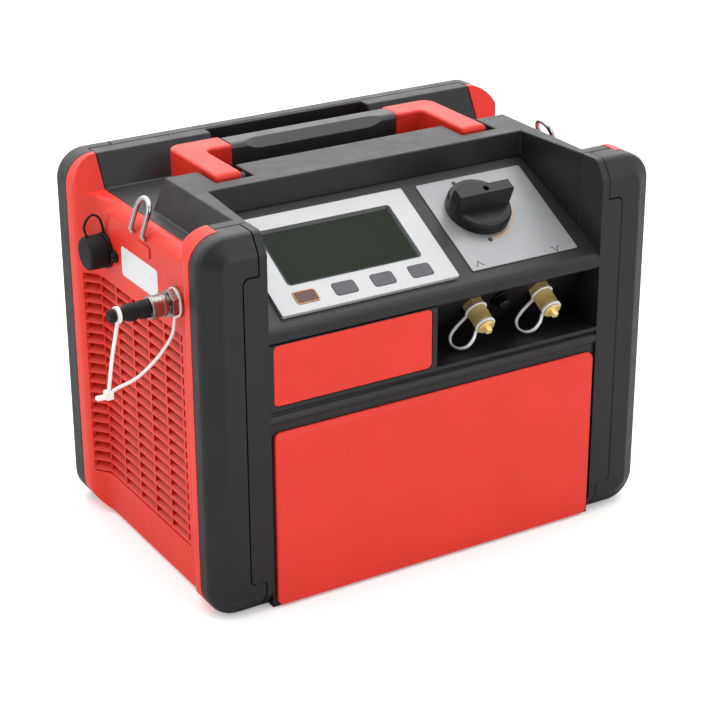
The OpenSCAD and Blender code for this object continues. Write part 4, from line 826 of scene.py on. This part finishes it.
def bent(corner, before, after, radius, steps=8):
    """Points of a round bend that takes the place of a corner."""
    a, b = (before - corner).normalized(), (after - corner).normalized()
    half = a.angle(b) / 2
    start, end = corner + a * (radius / math.tan(half)), corner + b * (radius / math.tan(half))
    middle = corner + (a + b).normalized() * (radius / math.sin(half))
    turns = [(start - middle).slerp(end - middle, i / steps) for i in range(steps + 1)]
    return [middle + turn.normalized() * radius for turn in turns]


for side, out in (("left", -1), ("right", 1)):
    points = [vertex.co for vertex in nodes[f"strap_hook_{side}"].data.vertices]
    top = max(points, key=lambda p: p.z)
    low_z = min(p.z for p in points) + WIRE_R
    feet_y = min(p.y for p in points) + WIRE_R, max(p.y for p in points) - WIRE_R
    foot_x = max(abs(p.x) for p in points) - WIRE_R
    inner_x = min(abs(p.x) for p in points if p.z < low_z + WIRE_R)
    span = (feet_y[1] - feet_y[0]) / 2
    crown = Vector((top.x, sum(feet_y) / 2, top.z - WIRE_R))
    corners = [Vector((out * foot_x, y, low_z)) for y in feet_y]
    rise = (Vector((crown.x, 0, crown.z)) - Vector((out * foot_x, 0, low_z))).normalized()
    centre = crown - rise * span
    half_turn = [math.pi * i / ARCH_STEPS for i in range(ARCH_STEPS + 1)]
    arch = [centre - sideways * span * math.cos(a) + rise * span * math.sin(a) for a in half_turn]
    inside = [Vector((out * inner_x, y, low_z)) for y in feet_y]
    line = [inside[0]] + bent(corners[0], inside[0], arch[0], BEND_R) + arch
    line += bent(corners[1], arch[-1], inside[1], BEND_R) + [inside[1]]
    rings = tube_rings(line, WIRE_R)
    loft(f"wire_eye_{side}", rings, "chromed_wire", "housing", stands_for=[f"strap_hook_{side}"])
print("wire eyes: 2")

# %% [markdown]
# The brass caps are knurled between two plain bands so that they can be turned by hand, and end in a square nib.
# A lathe shape with a wavy radius makes the knurl: 28 teeth, a little over half a millimetre deep.
# Each row of the profile is a radius and a height in millimetres, and whether the knurl is cut there.
# Each cap stands for its CAD node and turns with it.

# %% Port caps
CAP_BASE = 0.00745
CAP_PROFILE = (
    (5.9, 4.0, 0), (5.9, 0, 0), (7.4, 0, 0), (7.95, 0.5, 0), (7.95, 1.3, 0), (7.7, 1.6, 1), (7.7, 10.9, 1),
    (7.95, 11.2, 0), (7.95, 12.6, 0), (5.4, 12.7, 0), (5.4, 15.2, 0), (6.7, 15.25, 0), (7.15, 15.6, 0),
    (7.15, 16.4, 0), (6.6, 16.95, 0), (3.2, 17, 0),
)
KNURL_TEETH, KNURL_WAVE, CAP_STEPS = 28, 0.00028, 112
NIB = ((4.6, 16.8), (4.6, 20.7), (4.0, 21.5))
NIB_CORNER = 0.0005
for side in ("left", "right"):
    seat = Vector(joints[f"cap_{side}_unscrew"]["pos_m"])
    cap_frame = frame_at(seat + PORT_OUT * CAP_BASE, Vector((1, 0, 0)), PORT_UP)
    shape = bmesh.new()
    band(shape, [ring_at(cap_frame, circle(r * MM, CAP_STEPS, KNURL_WAVE * knurl, KNURL_TEETH), z * MM)
                 for r, z, knurl in CAP_PROFILE])
    band(shape, [ring_at(cap_frame, round_outline(w * MM, w * MM, NIB_CORNER), z * MM) for w, z in NIB])
    settle(f"brass_cap_{side}", shape, "brass", f"cap_{side}", stands_for=[f"port_cap_{side}"])
print("knurled caps: 2")
